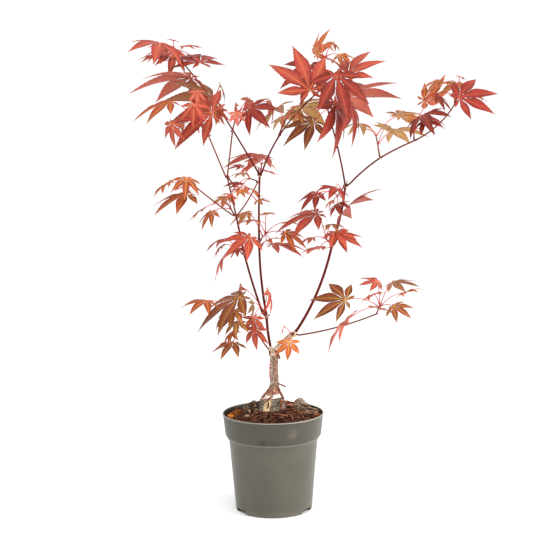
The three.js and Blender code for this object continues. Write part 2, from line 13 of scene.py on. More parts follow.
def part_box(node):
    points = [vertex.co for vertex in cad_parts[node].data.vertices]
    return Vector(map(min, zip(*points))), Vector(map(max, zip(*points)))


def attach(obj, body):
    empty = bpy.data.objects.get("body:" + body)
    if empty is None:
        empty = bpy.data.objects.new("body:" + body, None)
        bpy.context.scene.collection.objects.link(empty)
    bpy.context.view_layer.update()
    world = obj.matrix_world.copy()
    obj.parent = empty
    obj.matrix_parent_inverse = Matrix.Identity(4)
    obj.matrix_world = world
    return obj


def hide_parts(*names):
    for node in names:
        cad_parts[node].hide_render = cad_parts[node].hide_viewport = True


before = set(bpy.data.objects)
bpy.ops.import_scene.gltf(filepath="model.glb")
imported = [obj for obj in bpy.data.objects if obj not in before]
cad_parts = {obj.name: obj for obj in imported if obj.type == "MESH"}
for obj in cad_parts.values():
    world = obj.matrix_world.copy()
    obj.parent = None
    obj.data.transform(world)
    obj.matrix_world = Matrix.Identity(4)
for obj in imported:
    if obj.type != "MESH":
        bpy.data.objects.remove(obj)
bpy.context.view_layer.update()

MM = 0.001
# Metres below which two points are one
TINY = 1e-6

# Limbs: name, what it grows from, tip, bow of its middle, radius at foot and tip
LIMBS = [
    ("limb_grafted", "trunk", (28, -4, 229), (-1, 0, 1), (3.7, 3.2)),
    ("stem_middle_low", "trunk", (-7, -4, 251), (-1, 0, 0), (1.9, 1.8)),
    ("twig_low_left", "trunk", (-26, -32, 252), (-1, -3, -2), (1, 0.8)),
    ("stem_right_low", "limb_grafted", (76, -14, 342), (4.5, -2, -4), (2, 1.7)),
    ("twig_low_right", "limb_grafted", (128, -52, 260), (0, 0, -3.5), (1, 0.8)),
    ("stem_right_high", "stem_right_low", (93, -10, 415), (2.3, 0, 0), (1.6, 1.4)),
    ("branch_right_up", "stem_right_high", (75, 22, 500), (1.5, 0, 0), (1.2, 1)),
    ("branch_right_out", "stem_right_high", (136, -22, 451), (-1, 0, 1.5), (1.2, 1.1)),
    ("branch_right_top", "branch_right_up", (63, 38, 560), (0, 0, 0), (1, 0.8)),
    ("branch_right_far", "branch_right_out", (177, -33, 472), (0, 0, 1), (1, 0.9)),
    ("branch_right_end", "branch_right_far", (225, -45, 517), (3.5, 0, -3.5), (0.9, 0.8)),
    ("stem_middle", "stem_middle_low", (-15.5, 11, 345), (-2, 0, 0), (1.7, 1.5)),
    ("stem_left_low", "stem_middle_low", (-34, -20, 333), (-1, 0, 0), (1.6, 1.4)),
    ("stem_middle_high", "stem_middle", (-14, 25, 427), (-0.6, 0, 0), (1.5, 1.3)),
    ("branch_left_rise", "stem_middle_high", (-61, 29, 507), (0, 0, 1), (1.2, 1)),
    ("branch_centre_low", "stem_middle_high", (11, 4, 478), (-1.5, 1.5, 1), (1.2, 1.1)),
    ("branch_centre", "branch_centre_low", (49, -28, 523), (-1.5, 1.5, 1), (1.1, 0.9)),
    ("branch_left_top", "branch_left_rise", (-108, 44, 568), (0, 0, 1), (1, 0.8)),
    ("stem_left_high", "stem_left_low", (-43, -30, 381), (0, 0, 0), (1.4, 1.2)),
    ("branch_left", "stem_left_high", (-53, -36, 429), (0, 0, 0), (1.1, 1)),
    ("twig_left_low", "stem_left_high", (-94, -72, 424), (0, 0, -1), (0.9, 0.8)),
    ("twig_left_inner", "stem_left_high", (-17, 55, 417), (0, -4, -3), (0.9, 0.8)),
    ("twig_left_up", "branch_left", (-47, -5, 484), (0, 0, 0), (0.9, 0.8)),
    ("twig_left_out", "branch_left", (-74, -55, 480), (0, 0, 0), (0.9, 0.8)),
]
# Where limbs leave the top of the trunk, in x and y
TRUNK_FEET = {
    "limb_grafted": (5.2, 0.0),
    "stem_middle_low": (-1.2, 0.8),
    "twig_low_left": (-1.9, -4.2),
}
TRUNK_TOP = 204.2

# Sprays: name, limb at whose tip it grows, turn and rise of its stem in degrees, stem length,
# pairs of leaves, leaf stalk, leaf size, nod of the leaves in degrees, tint and seed
SPRAYS = [
    ("spray_top_left", "branch_left_top", 180, 55, 23, 2, 19, 41, 10, "red", 257),
    ("spray_upper_left", "branch_left_rise", -145, 45, 32, 2, 27, 52, 45, "bronze", 965),
    ("spray_left_up", "twig_left_up", -60, 60, 27, 2, 36, 35, 70, "red", 766),
    ("spray_left_out", "twig_left_out", 160, 50, 22, 2, 33, 30, 80, "red", 991),
    ("spray_centre", "branch_centre", -5, 40, 17, 3, 36, 61, 55, "dark", 144),
    ("spray_centre_low", "branch_centre_low", 0, 65, 23, 3, 32, 51, 25, "olive", 631),
    ("spray_right_top", "branch_right_top", -15, 60, 17, 2, 24, 28, 20, "orange", 674),
    ("spray_right_up", "branch_right_up", -65, 50, 17, 3, 36, 57, -5, "red", 513),
    ("spray_right_fork", "stem_right_high", -125, -35, 19, 2, 35, 37, 20, "dark", 434),
    ("spray_right_out", "branch_right_out", 175, 80, 26, 2, 33, 53, -10, "olive", 825),
    ("spray_right_far", "branch_right_far", -100, 75, 18, 2, 36, 42, 25, "dark", 968),
    ("spray_right_end", "branch_right_end", -80, 55, 11, 2, 23, 29, 20, "orange", 907),
    ("spray_right_node", "stem_right_low", -115, 30, 19, 2, 22, 42, 0, "red", 128),
    ("spray_grafted", "limb_grafted", -115, 5, 9, 1, 10, 28, 80, "young", 215),
    ("spray_low_right", "twig_low_right", -55, 55, 12, 1, 32, 32, -5, "bronze", 308),
    ("spray_middle_fork", "stem_middle_high", 80, 50, 19, 2, 13, 28, 5, "pink", 606),
    ("spray_middle_node", "stem_middle", -55, 40, 16, 2, 29, 34, -5, "orange", 747),
    ("spray_middle_low", "stem_middle_low", -110, 45, 18, 2, 36, 28, 75, "red", 896),
    ("spray_left_node", "stem_left_low", -140, 40, 15, 2, 14, 35, 30, "red", 137),
    ("spray_left_fork", "stem_left_high", 170, 60, 17, 2, 25, 29, 30, "orange", 965),
    ("spray_left_branch", "branch_left", -35, -50, 14, 1, 32, 29, 0, "orange", 839),
    ("spray_left_low", "twig_left_low", -135, -25, 10, 2, 34, 28, 25, "orange", 449),
    ("spray_inner", "twig_left_inner", 170, 20, 11, 1, 32, 28, -10, "dark", 242),
    ("spray_low_left", "twig_low_left", -140, 10, 17, 3, 17, 62, 30, "bronze", 62),
]

# Leaves that stand out from the front: spray, hub, size, clock angle of the middle lobe, lean of the
# blade back from upright, its roll about the middle lobe, and its own tint
BOLD_LEAVES = [
    ("spray_top_left", (-137, 28, 595), 59, -89, 83, -16, "red"),
    ("spray_top_left", (-88, 32, 570), 59, 107, 60, 7, "dark"),
    ("spray_top_left", (-125, 93, 586), 35, -94, 41, -18, "red"),
    ("spray_upper_left", (-70, 10, 524), 66, 148, 66, 65, "bronze"),
    ("spray_upper_left", (-98, 2, 551), 75, 170, 59, 50, "red"),
    ("spray_left_out", (-120, -46, 522), 50, -170, 39, 37, "orange"),
    ("spray_left_out", (-69, -52, 509), 70, 158, 89, -51, "red"),
    ("spray_left_up", (-24, -37, 514), 41, -66, 68, 35, "dark"),
    ("spray_centre", (48, -57, 535), 63, 102, 13, 18, "red"),
    ("spray_right_top", (60, 53, 579), 36, 79, -15, -65, "young"),
    ("spray_right_top", (98, 13, 553), 54, 65, 31, -30, "red"),
    ("spray_right_up", (97, 5, 525), 70, 34, 63, -56, "red"),
    ("spray_right_up", (55, 4, 495), 47, -150, 48, 10, "bronze"),
    ("spray_right_far", (185, -57, 504), 47, -91, 85, 28, "dark"),
    ("spray_right_end", (190, -13, 521), 45, 11, 9, 62, "orange"),
    ("spray_right_end", (225, -80, 524), 50, 19, 18, -23, "dark"),
    ("spray_right_fork", (93, -41, 391), 54, 65, 67, -52, "dark"),
    ("spray_right_node", (58, -20, 382), 55, -173, 34, 39, "red"),
    ("spray_middle_node", (2, 3, 342), 49, 8, 64, -22, "red"),
    ("spray_left_node", (-26, -48, 357), 42, -134, 71, -10, "red"),
    ("spray_left_low", (-100, -86, 413), 47, -146, 76, 5, "orange"),
    ("spray_middle_fork", (-8, 48, 451), 56, 157, 83, 23, "red"),
    ("spray_low_left", (-39, -59, 284), 65, -158, 21, 53, "bronze"),
    ("spray_low_left", (-80, -65, 281), 35, -121, 89, -8, "orange"),
    ("spray_low_left", (-48, -51, 226), 33, -118, 80, 1, "bronze"),
    ("spray_low_right", (90, -78, 282), 49, 159, 61, -16, "bronze"),
    ("spray_low_right", (92, -61, 254), 53, -132, 68, 62, "red"),
    ("spray_low_right", (162, -68, 289), 28, 58, 75, -30, "orange"),
]

# How a spray grows, as in the part's source
GAP = 0.3
TWIG = SimpleNamespace(radius=1.0, spread=55, spread_vary=16, arch=0.04)
STALK = SimpleNamespace(arch=0.12, vary=0.3, marks_from=8)
LEAF = SimpleNamespace(vary=0.2, nod_vary=22, roll_vary=28, droop=0.36, droop_vary=0.14, tries=16,
                       shrink=0.035)
PAIR = SimpleNamespace(turn=90, spin_vary=60, retry_vary=40, last=0.97, bold_root=0.9)
CLEAR = SimpleNamespace(limb=5, spray=8, twin=5, step=4)
CROWN = ((-178, -150, 183), (293, 150, 613))
UP = np.array([0.0, 0.0, 1.0])
# Seeds of the draws that the source's rule doesn't make, and what is added to a spray's own seed
SEED = SimpleNamespace(fresh=300, tones=500, stalks=900, buds=41, litter=71)

# Outline of a leaf: the turn and length of each lobe, then where it is widest and where its rib is
# tested for room, as shares of the lobe's own length
LOBES = [(-130, 0.28), (-84, 0.62), (-41, 0.9), (0, 1.0), (41, 0.9), (84, 0.62), (130, 0.28)]
WIDEST = SimpleNamespace(at=0.47, half=0.145)
RIB_MARKS = (0.2, 0.35, 0.5, 0.65, 0.8, 0.9, 1)


# The growing rule

def length_of(vector):
    return math.sqrt(vector @ vector)


def unit(vector):
    return vector / length_of(vector)


def across(vector, axis):
    """The part of a vector that is square to an axis, as a direction."""
    return unit(vector - axis * (vector @ axis))


def heading(turn, rise):
    """The direction with a turn from +X and a rise from level, in degrees."""
    turn, rise = math.radians(turn), math.radians(rise)
    return np.array([math.cos(turn) * math.cos(rise), math.sin(turn) * math.cos(rise), math.sin(rise)])


def random_from(seed):
    """A seeded draw between 0 and 1, the same as the source's."""
    state = seed * 7919 + 104729

    def draw():
        nonlocal state
        state = (state * 16807) % 2147483647
        return state / 2147483647

    return draw


class Route:
    """A bent line from foot to tip, whose middle is shifted by a bow."""

    def __init__(self, foot, tip, bow):
        self.foot, self.tip, self.bow = (np.array(v, float) for v in (foot, tip, bow))
        self.span = length_of(self.tip - self.foot)

    def at(self, t):
        return self.foot * (1 - t) + self.tip * t + self.bow * (4 * t * (1 - t))

    def slope(self, t):
        return unit(self.tip - self.foot + self.bow * (4 * (1 - 2 * t)))

    def marks(self, start=0.0):
        """Points along the line, from a distance past its foot, that others keep clear of."""
        steps = math.ceil(self.span / CLEAR.step)
        return [self.at(i / steps) for i in range(steps + 1) if i / steps >= start / self.span]


def frame_across(axis):
    """Two directions square to an axis and to each other."""
    upright = UP if abs(axis[2]) < 0.8 else np.array([0.0, 1.0, 0.0])
    right = unit(np.cross(axis, upright))
    return right, np.cross(right, axis)


def foot_straight(parent, toward, radius):
    """Where a limb starts that grows on from its parent's tip, clear of it by the gap."""
    axis = parent.line.slope(1)
    return parent.line.tip + axis * (GAP + radius * length_of(np.cross(axis, toward)))


def foot_beside(parent, leader_radius, toward, radius):
    """Where a limb starts that grows out beside the first limb of its parent."""
    axis = parent.line.slope(1)
    reach = max(leader_radius, parent.radii[1]) + GAP + radius * abs(axis @ toward)
    return parent.line.tip + across(toward, axis) * reach


def foot_on_trunk(name, tip, radius):
    place = np.array([*TRUNK_FEET[name], TRUNK_TOP])
    return place + UP * (GAP + radius * length_of(np.cross(UP, unit(tip - place))))


def grow_limbs():
    """All limbs by name, and the first limb that grows from each of them."""
    limbs, leaders = {}, {}
    for name, source, tip, bow, radii in LIMBS:
        tip = np.array(tip, float)
        parent = limbs.get(source)
        if not parent:
            foot = foot_on_trunk(name, tip, radii[0])
        elif source in leaders:
            foot = foot_beside(parent, leaders[source].radii[0], unit(tip - parent.line.tip), radii[0])
        else:
            foot = foot_straight(parent, unit(tip - parent.line.tip), radii[0])
        limbs[name] = SimpleNamespace(name=name, source=source, line=Route(foot, tip, bow), radii=radii)
        leaders.setdefault(source, limbs[name])
    return limbs, leaders


class Leaf:
    """A leaf's hub, the directions of its middle lobe, its side and its upper face, and its stalk."""

    def __init__(self, root, hub, nose, flat, face, roll, size, droop):
        self.hub, self.nose, self.size, self.droop = hub, nose, size, droop
        self.side = flat * math.cos(roll) + face * math.sin(roll)
        self.normal = face * math.cos(roll) - flat * math.sin(roll)
        reach = length_of(hub - root)
        self.stalk = Route(root, hub, (0, 0, STALK.arch * reach))

    def points(self, turn, out, off):
        """Points of a lobe, so far out along its rib and so far off to one side, with its droop."""
        rib = self.nose * math.cos(math.radians(turn)) + self.side * math.sin(math.radians(turn))
        wing = np.cross(self.normal, rib)
        out, off = np.broadcast_arrays(np.asarray(out, float), np.asarray(off, float))
        drop = self.droop * out * out / self.size
        return (self.hub + out[..., None] * rib + off[..., None] * wing - drop[..., None] * self.normal)

    def marks(self):
        """Points of the ribs, the widest places and the stalk that others keep clear of."""
        marks = []
        for turn, share in LOBES:
            reach = share * self.size
            marks.extend(self.points(turn, np.array(RIB_MARKS) * reach, 0))
            marks.extend(self.points(turn, WIDEST.at * reach, np.array([-1, 1]) * WIDEST.half * reach))
        return marks + self.stalk.marks(STALK.marks_from)


def place_leaf(root, toward, plan, share, random):
    """A leaf at the end of a stalk, with its own size, nod, roll and droop."""
    reach = plan.stalk * (1 + STALK.vary * (2 * random() - 1))
    nod = math.radians(plan.nod + LEAF.nod_vary * (2 * random() - 1))
    roll = math.radians(LEAF.roll_vary * (2 * random() - 1))
    size = plan.leaf * share * (1 + LEAF.vary * (2 * random() - 1))
    droop = LEAF.droop + LEAF.droop_vary * (2 * random() - 1)
    level = unit(np.array([toward[0], toward[1], 0.0]))
    nose = level * math.cos(nod) - UP * math.sin(nod)
    flat = unit(np.cross(UP, nose))
    return Leaf(root, root + toward * reach, nose, flat, np.cross(nose, flat), roll, size, droop)


def place_bold_leaf(stem, hub, size, clock, lean, roll):
    """A leaf with a given hub, size and turn, seen from the front."""
    clock, lean = math.radians(clock), math.radians(lean)
    face = np.array([0.0, -math.cos(lean), math.sin(lean)])
    nose = np.array([math.cos(clock), math.sin(lean) * math.sin(clock), math.cos(lean) * math.sin(clock)])
    flat = np.cross(face, nose)
    hub = np.array(hub, float)
    return Leaf(stem.at(PAIR.bold_root), hub, nose, flat, face, math.radians(roll), size, LEAF.droop)


def is_near(marks, others, reach):
    if not len(others):
        return False
    gaps = np.asarray(marks)[:, None, :] - np.asarray(others)[None, :, :]
    return bool(((gaps ** 2).sum(axis=2) < reach * reach).any())


def is_in_crown(marks):
    marks = np.asarray(marks)
    return bool((marks > CROWN[0]).all() and (marks < CROWN[1]).all())


def start_spray(row, limbs, leaders):
    """A spray's stem with the bold leaves that belong to it."""
    name, source, turn, rise, length, pairs, stalk, leaf, nod, tint, seed = row
    parent, leader = limbs[source], leaders.get(source)
    toward = heading(turn, rise)
    if leader:
        foot = foot_beside(parent, leader.radii[0], toward, TWIG.radius)
    else:
        foot = foot_straight(parent, toward, TWIG.radius)
    stem = Route(foot, foot + toward * length, (0, 0, TWIG.arch * length))
    plan = SimpleNamespace(stalk=stalk, leaf=leaf, nod=nod)
    spray = SimpleNamespace(name=name, source=source, stem=stem, pairs=pairs, seed=seed, tint=tint,
                            plan=plan, leaves=[], marks=stem.marks())
    for of, hub, size, clock, lean, roll, own_tint in BOLD_LEAVES:
        if of == name:
            take_leaf(spray, place_bold_leaf(stem, hub, size, clock, lean, roll), own_tint)
    return spray


def take_leaf(spray, leaf, tint):
    """Adds a leaf to a spray, in its tint."""
    leaf.tint = tint
    spray.leaves.append(leaf)
    spray.marks = spray.marks + leaf.marks()


def try_leaf(spray, t, side, spin, random, taken):
    """One leaf of a pair, turned afresh and a little smaller until it has room, or left out."""
    axis = spray.stem.slope(t)
    right, up = frame_across(axis)
    for attempt in range(LEAF.tries):
        turn = math.radians(spin + PAIR.retry_vary * (random() - 0.5) * (1 + attempt / 3))
        spread = math.radians(TWIG.spread + TWIG.spread_vary * (2 * random() - 1))
        out = (right * math.cos(turn) + up * math.sin(turn)) * side
        toward = unit(axis * math.cos(spread) + out * math.sin(spread))
        leaf = place_leaf(spray.stem.at(t), toward, spray.plan, 1 - LEAF.shrink * attempt, random)
        marks = leaf.marks()
        if is_in_crown(marks) and not any(is_near(marks, others, reach) for others, reach in taken):
            return leaf
    return None


def grow_pairs(spray, limb_marks, other_marks):
    """Pairs of leaves along a spray's stem, clear of limbs, other sprays and each other."""
    random = random_from(spray.seed)
    twins = [mark for leaf in spray.leaves for mark in leaf.marks()]
    for pair in range(1, spray.pairs + 1):
        spin = PAIR.turn * (pair % 2) + PAIR.spin_vary * random()
        place = PAIR.last if pair == spray.pairs else pair / spray.pairs
        for side in (-1, 1):
            taken = [(limb_marks, CLEAR.limb), (other_marks, CLEAR.spray), (twins, CLEAR.twin)]
            leaf = try_leaf(spray, place, side, spin, random, taken)
            if leaf:
                take_leaf(spray, leaf, spray.tint)
                twins = twins + leaf.marks()


def grow_sprays(limbs, leaders):
    """All sprays with their leaves, which keep clear of the limbs and of each other."""
    limb_marks = np.array([mark for limb in limbs.values() for mark in limb.line.marks()])
    sprays = [start_spray(row, limbs, leaders) for row in SPRAYS]
    for spray in sprays:
        others = np.array([mark for other in sprays if other is not spray for mark in other.marks])
        grow_pairs(spray, limb_marks, others)
    return sprays


# Colours, as sRGB hex

# Blade, its darker patches and margin, ribs, the flush along the ribs, and the underside
PALETTE = {
    "red": ("b44138", "7e231d", "de7c50", "ac4e34", "bc6450"),
    "dark": ("8e261f", "560f0b", "c05238", "86301f", "9c4e40"),
    "bronze": ("90382a", "561b12", "d8a446", "88502a", "a46c48"),
    "orange": ("a83a22", "782412", "e0903e", "9c5a2a", "b87c4a"),
    "olive": ("a4522e", "7c3220", "dcae5c", "a47c38", "b89058"),
    "pink": ("c84a3f", "982a22", "ee8e64", "c65c3a", "cc705a"),
    "young": ("c24e28", "9c3218", "e8a850", "b87434", "cc9050"),
}


def linear(code):
    """A linear colour with alpha from an sRGB hex code."""
    channels = [int(code[i:i + 2], 16) / 255 for i in (0, 2, 4)]
    return tuple(c / 12.92 if c <= 0.04045 else ((c + 0.055) / 1.055) ** 2.4 for c in channels) + (1.0,)


# Small helpers for meshes and materials

TINT = {"data_type": "RGBA"}
SOFT = {"interpolation_type": "SMOOTHSTEP"}


def mesh_from(name, bm):
    """A mesh made from a bmesh, which is then freed."""
    mesh = bpy.data.meshes.new(name)
    bm.to_mesh(mesh)
    bm.free()
    return mesh


def placed(name, data):
    """An object in the scene that holds a mesh, a light or a camera."""
    thing = bpy.data.objects.new(name, data)
    bpy.context.scene.collection.objects.link(thing)
    return thing


def finish_piece(name, mesh, material, slot, *nodes, smooth=True):
    """A finished piece: its mesh, material, body and the CAD nodes that it stands for. Its slot is not used.
    """
    mesh.polygons.foreach_set("use_smooth", np.full(len(mesh.polygons), smooth))
    mesh.materials.append(material)
    piece = placed(name, mesh)
    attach(piece, "root")
    if nodes:
        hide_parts(*nodes)
    return piece


def feed(tree, made, inputs):
    """Fills a node's inputs, each with a number, a hex colour or another node's output."""
    for key, value in inputs.items():
        if isinstance(value, bpy.types.NodeSocket):
            tree.links.new(value, made.inputs[key])
        else:
            made.inputs[key].default_value = linear(value) if isinstance(value, str) else value


def node(tree, kind, inputs=None, output=0, **settings):
    """Adds a node with its settings and links, and gives one of its outputs."""
    made = tree.nodes.new("ShaderNode" + kind)
    for name, value in settings.items():
        setattr(made, name, value)
    feed(tree, made, inputs or {})
    return made.outputs[output]


def new_material(name):
    """An empty Principled material: the material, its node tree and its shader."""
    material = bpy.data.materials.new(name)
    material.use_nodes = True
    return material, material.node_tree, material.node_tree.nodes["Principled BSDF"]


def fineness(millimetres):
    """The scale of a pattern whose grains are that many millimetres across on a piece in metres."""
    return 1 / (millimetres * MM)


# Foliage

# The teeth of a real leaf, 1 to 1.5 mm apart, are drawn two to three times as coarse. A lobe no longer
# than the short one has half the stations. Beyond the outer lobes a blade opens by the last angle, and
# edges sharper than the crease angle, as at the rim, aren't shaded round.
BLADE = SimpleNamespace(stations=27, short=15, thick=0.32, tooth=0.011, tooth_lean=0.4, base_half=0.024,
                        waist=2.5, taper=1.25, straight=0.14, fold=0.2, wave=0.5, waves=9, crease=60,
                        open_side=26)
# Across a lobe: its edge, halfway, its rib, halfway and its other edge
COLUMNS = np.array([-1.0, -0.5, 0.0, 0.5, 1.0])
# Half the width of a rib at its foot and tip, then how far apart the side veins are and how they slant
VEINS = SimpleNamespace(rib_foot=0.62, rib_tip=0.2, apart=3.4, slant=1.3)


def lobe_half(u):
    """Half the width of a lobe, as a share of its length, at a share of the way out."""
    inner = np.sin(np.minimum(u / WIDEST.at, 1) * np.pi / 2) ** BLADE.waist
    rise = BLADE.base_half + (WIDEST.half - BLADE.base_half) * inner
    outer = np.clip((u - WIDEST.at) / (1 - WIDEST.at), 0, 1)
    curved = np.cos(outer * np.pi / 2) ** BLADE.taper
    fall = WIDEST.half * ((1 - BLADE.straight) * curved + BLADE.straight * (1 - outer))
    return np.where(u < WIDEST.at, rise, fall)


def lobe_grid(leaf, index, chance):
    """Points of one lobe in rows from the hub to its tip, with the flat place of each in millimetres."""
    turn, share = LOBES[index]
    reach = share * leaf.size
    rows = BLADE.stations if reach > BLADE.short else BLADE.stations // 2
    u = np.linspace(0, 1, rows)
    half = lobe_half(u)
    is_tooth = np.arange(rows) % 2
    sides = []
    for other in (index - 1, index + 1):
        angle = abs(LOBES[other][0] - turn) / 2 if 0 <= other < len(LOBES) else BLADE.open_side
        limit = u * math.tan(math.radians(angle))
        tooth = BLADE.tooth * is_tooth * (half < limit) * np.clip(2 * (1 - u), 0, 1)
        sides.append(np.minimum(half, limit) + tooth)
    width = np.where(COLUMNS < 0, sides[0][:, None], sides[1][:, None])
    off = width * COLUMNS * reach
    out = np.broadcast_to((u * reach)[:, None], off.shape)
    lean = out + np.abs(COLUMNS) * is_tooth[:, None] * BLADE.tooth_lean * reach / rows
    lean = np.minimum(lean, reach)
    wave = BLADE.wave * np.sin(u * BLADE.waves + 6 * chance)[:, None] * COLUMNS
    height = BLADE.fold * np.abs(off) + wave * np.clip(3 * u * (1 - u), 0, 1)[:, None]
    points = leaf.points(turn, lean, off) + height[..., None] * leaf.normal
    return points, lean, off, reach


def strip_faces(rows, columns, start, flip):
    """Quads of a grid of points, numbered row by row from start."""
    faces = []
    for row in range(rows - 1):
        for column in range(columns - 1):
            a = start + row * columns + column
            quad = (a + 1, a, a + columns, a + columns + 1)
            faces.append(quad[::-1] if flip else quad)
    return faces


def rim_faces(rows, columns, top, bottom):
    """The thin edge that joins the upper and lower sheet of a lobe."""
    border = [row * columns for row in range(rows)]
    border += [(rows - 1) * columns + column for column in range(1, columns)]
    border += [row * columns + columns - 1 for row in range(rows - 2, -1, -1)]
    border += [column for column in range(columns - 2, 0, -1)]
    faces = []
    for a, b in zip(border, border[1:] + border[:1]):
        faces.append((top + a, bottom + a, bottom + b, top + b))
    return faces


def leaf_mesh(parts, leaf, tone, chance):
    """Adds a leaf's lobes, each a thin closed blade, to the lists of a joined mesh."""
    for index in range(len(LOBES)):
        points, out, off, reach = lobe_grid(leaf, index, chance + index * 0.37)
        rows, columns = off.shape
        lower = points - leaf.normal * BLADE.thick
        top = parts.count
        bottom = top + rows * columns
        rib_half = VEINS.rib_foot + (VEINS.rib_tip - VEINS.rib_foot) * out / reach
        faces = strip_faces(rows, columns, top, False) + strip_faces(rows, columns, bottom, True)
        faces += rim_faces(rows, columns, top, bottom)
        parts.add(np.concatenate([points.reshape(-1, 3), lower.reshape(-1, 3)]), faces,
                  rib=np.tile((np.abs(off) / rib_half).ravel(), 2),
                  vein=np.tile((out - VEINS.slant * np.abs(off)).ravel(), 2),
                  edge=np.tile(np.abs(COLUMNS), 2 * rows),
                  tone=tone,
                  under=np.repeat([0.0, 1.0], rows * columns))


class Parts:
    """Points and faces of many small things that make one mesh, with values kept on the points."""

    def __init__(self, *names):
        self.points, self.faces, self.count = [], [], 0
        self.values = {name: [] for name in names}

    def add(self, points, faces, **values):
        self.points.append(points)
        self.faces.extend(faces)
        for name, value in values.items():
            self.values[name].append(np.broadcast_to(np.asarray(value, float), len(points)))
        self.count += len(points)

    def mesh(self, name):
        mesh = bpy.data.meshes.new(name)
        mesh.from_pydata((np.concatenate(self.points) * MM).tolist(), [], self.faces)
        for key, value in self.values.items():
            mesh.attributes.new(key, "FLOAT", "POINT").data.foreach_set("value", np.concatenate(value))
        return mesh


def leaf_material(kind):
    """Maple leaf, waxy skin over soft tissue: matt, with pale ribs, faint side veins and darker margins."""
    blade, shade, rib_colour, flush_colour, underside = PALETTE[kind]
    material, tree, shader = new_material("maple_leaf_" + kind)
    rib, vein, edge, tone, under = (node(tree, "Attribute", None, "Fac", attribute_name=name)
                                    for name in ("rib", "vein", "edge", "tone", "under"))
    place = node(tree, "TexCoord", None, "Object")
    patches = node(tree, "TexNoise", {"Vector": place, "Scale": fineness(9), "Detail": 3.0})
    mottle = node(tree, "TexNoise", {"Vector": place, "Scale": fineness(1.6), "Detail": 3.0})
    worn = node(tree, "MapRange", {0: patches, 1: 0.38, 2: 0.62, 3: -0.35, 4: 0.5}, **SOFT)
    worn = node(tree, "Math", {0: worn, 1: tone}, operation="ADD")
    worn = node(tree, "Math", {0: mottle, 1: 0.4, 2: worn}, operation="MULTIPLY_ADD")
    worn = node(tree, "Math", {0: worn, 1: 0.68}, operation="MULTIPLY", use_clamp=True)
    margin = node(tree, "MapRange", {0: edge, 1: 0.6, 2: 1.0, 3: 0.0, 4: 0.55}, **SOFT)
    flush = node(tree, "MapRange", {0: edge, 1: 0.15, 2: 0.85, 3: 1.1, 4: 0.0}, **SOFT)
    flush = node(tree, "Math", {0: flush, 1: patches}, operation="MULTIPLY", use_clamp=True)
    veins = node(tree, "Math", {0: vein, 1: 2 * math.pi / VEINS.apart}, operation="MULTIPLY")
    veins = node(tree, "Math", {0: veins}, operation="SINE")
    veins = node(tree, "MapRange", {0: veins, 1: 0.84, 2: 1.0, 3: 0.0, 4: 0.4}, **SOFT)
    ribs = node(tree, "MapRange", {0: rib, 1: 0.25, 2: 1.0, 3: 0.85, 4: 0.0}, **SOFT)
    pale = node(tree, "Math", {0: under, 1: 0.5}, operation="MULTIPLY")
    colour = blade
    for share, tint in ((worn, shade), (margin, shade), (flush, flush_colour), (veins, rib_colour),
                        (ribs, rib_colour), (pale, underside)):
        colour = node(tree, "Mix", {0: share, 6: colour, 7: tint}, 2, **TINT)
    relief = node(tree, "Math", {0: ribs, 1: veins}, operation="ADD")
    relief = node(tree, "Math", {0: mottle, 1: 0.3, 2: relief}, operation="MULTIPLY_ADD")
    bump = node(tree, "Bump", {"Height": relief, "Distance": 0.35 * MM, "Strength": 0.6})
    feed(tree, shader, {"Base Color": colour, "Roughness": 0.5, "IOR": 1.38, "Specular IOR Level": 0.28})
    feed(tree, shader, {"Normal": bump})
    return material


# Small leaves at the tip of each spray, finer than the solids and within their reach: how many are
# tried, stalk, leaf size and tints. Those that find no room are left out.
FRESH = (2, 10, 15, ("young", "pink", "orange"))
FRESH_TRIES = 16
FRESH_SPREAD = 0.9
OWN_FRESH = {
    "spray_grafted": (0, 10, 15, ("young",)),
    "spray_right_top": (0, 10, 15, ("young",)),
    "spray_right_end": (0, 10, 15, ("young",)),
    "spray_low_left": (6, 27, 25, ("orange", "olive", "bronze")),
    "spray_low_right": (5, 26, 24, ("red", "bronze", "pink")),
    "spray_middle_low": (3, 20, 21, ("orange", "red", "olive")),
    "spray_middle_node": (3, 22, 22, ("red", "bronze", "orange")),
    "spray_right_node": (3, 22, 23, ("red", "pink", "bronze")),
    "spray_inner": (3, 16, 18, ("olive", "red", "orange")),
}


def grow_fresh(sprays, limbs):
    """Adds the small leaves, spread round the direction of each spray's tip."""
    limb_marks = [mark for limb in limbs.values() for mark in limb.line.marks()]
    taken = limb_marks + [mark for spray in sprays for leaf in spray.leaves for mark in leaf.marks()]
    for spray in sprays:
        random = random_from(spray.seed + SEED.fresh)
        axis = spray.stem.slope(1)
        right, up = frame_across(axis)
        count, stalk, size, tints = OWN_FRESH.get(spray.name, FRESH)
        plan = SimpleNamespace(stalk=stalk, leaf=size, nod=spray.plan.nod)
        for _ in range(count):
            for _ in range(FRESH_TRIES):
                turn = 2 * math.pi * random()
                toward = unit(axis + FRESH_SPREAD * (right * math.cos(turn) + up * math.sin(turn)))
                leaf = place_leaf(spray.stem.tip, toward, plan, 1, random)
                marks = leaf.marks()
                if is_in_crown(marks) and not is_near(marks, taken, CLEAR.twin - 1):
                    leaf.tint = tints[int(len(tints) * random())]
                    spray.leaves.append(leaf)
                    taken = taken + marks
                    break


def build_leaves(sprays):
    """One joined piece of leaves for each tint."""
    values = ("rib", "vein", "edge", "tone", "under")
    parts = {tint: Parts(*values) for tint in PALETTE}
    for spray in sprays:
        random = random_from(spray.seed + SEED.tones)
        for leaf in spray.leaves:
            leaf_mesh(parts[leaf.tint], leaf, random(), random())
    for tint, kept in parts.items():
        name = "leaves_" + tint
        nodes = [spray.name for spray in sprays if any(leaf.tint == tint for leaf in spray.leaves)]
        piece = finish_piece(name, kept.mesh(name), leaf_material(tint), "foliage", *nodes)
        piece.data.set_sharp_from_angle(angle=math.radians(BLADE.crease))


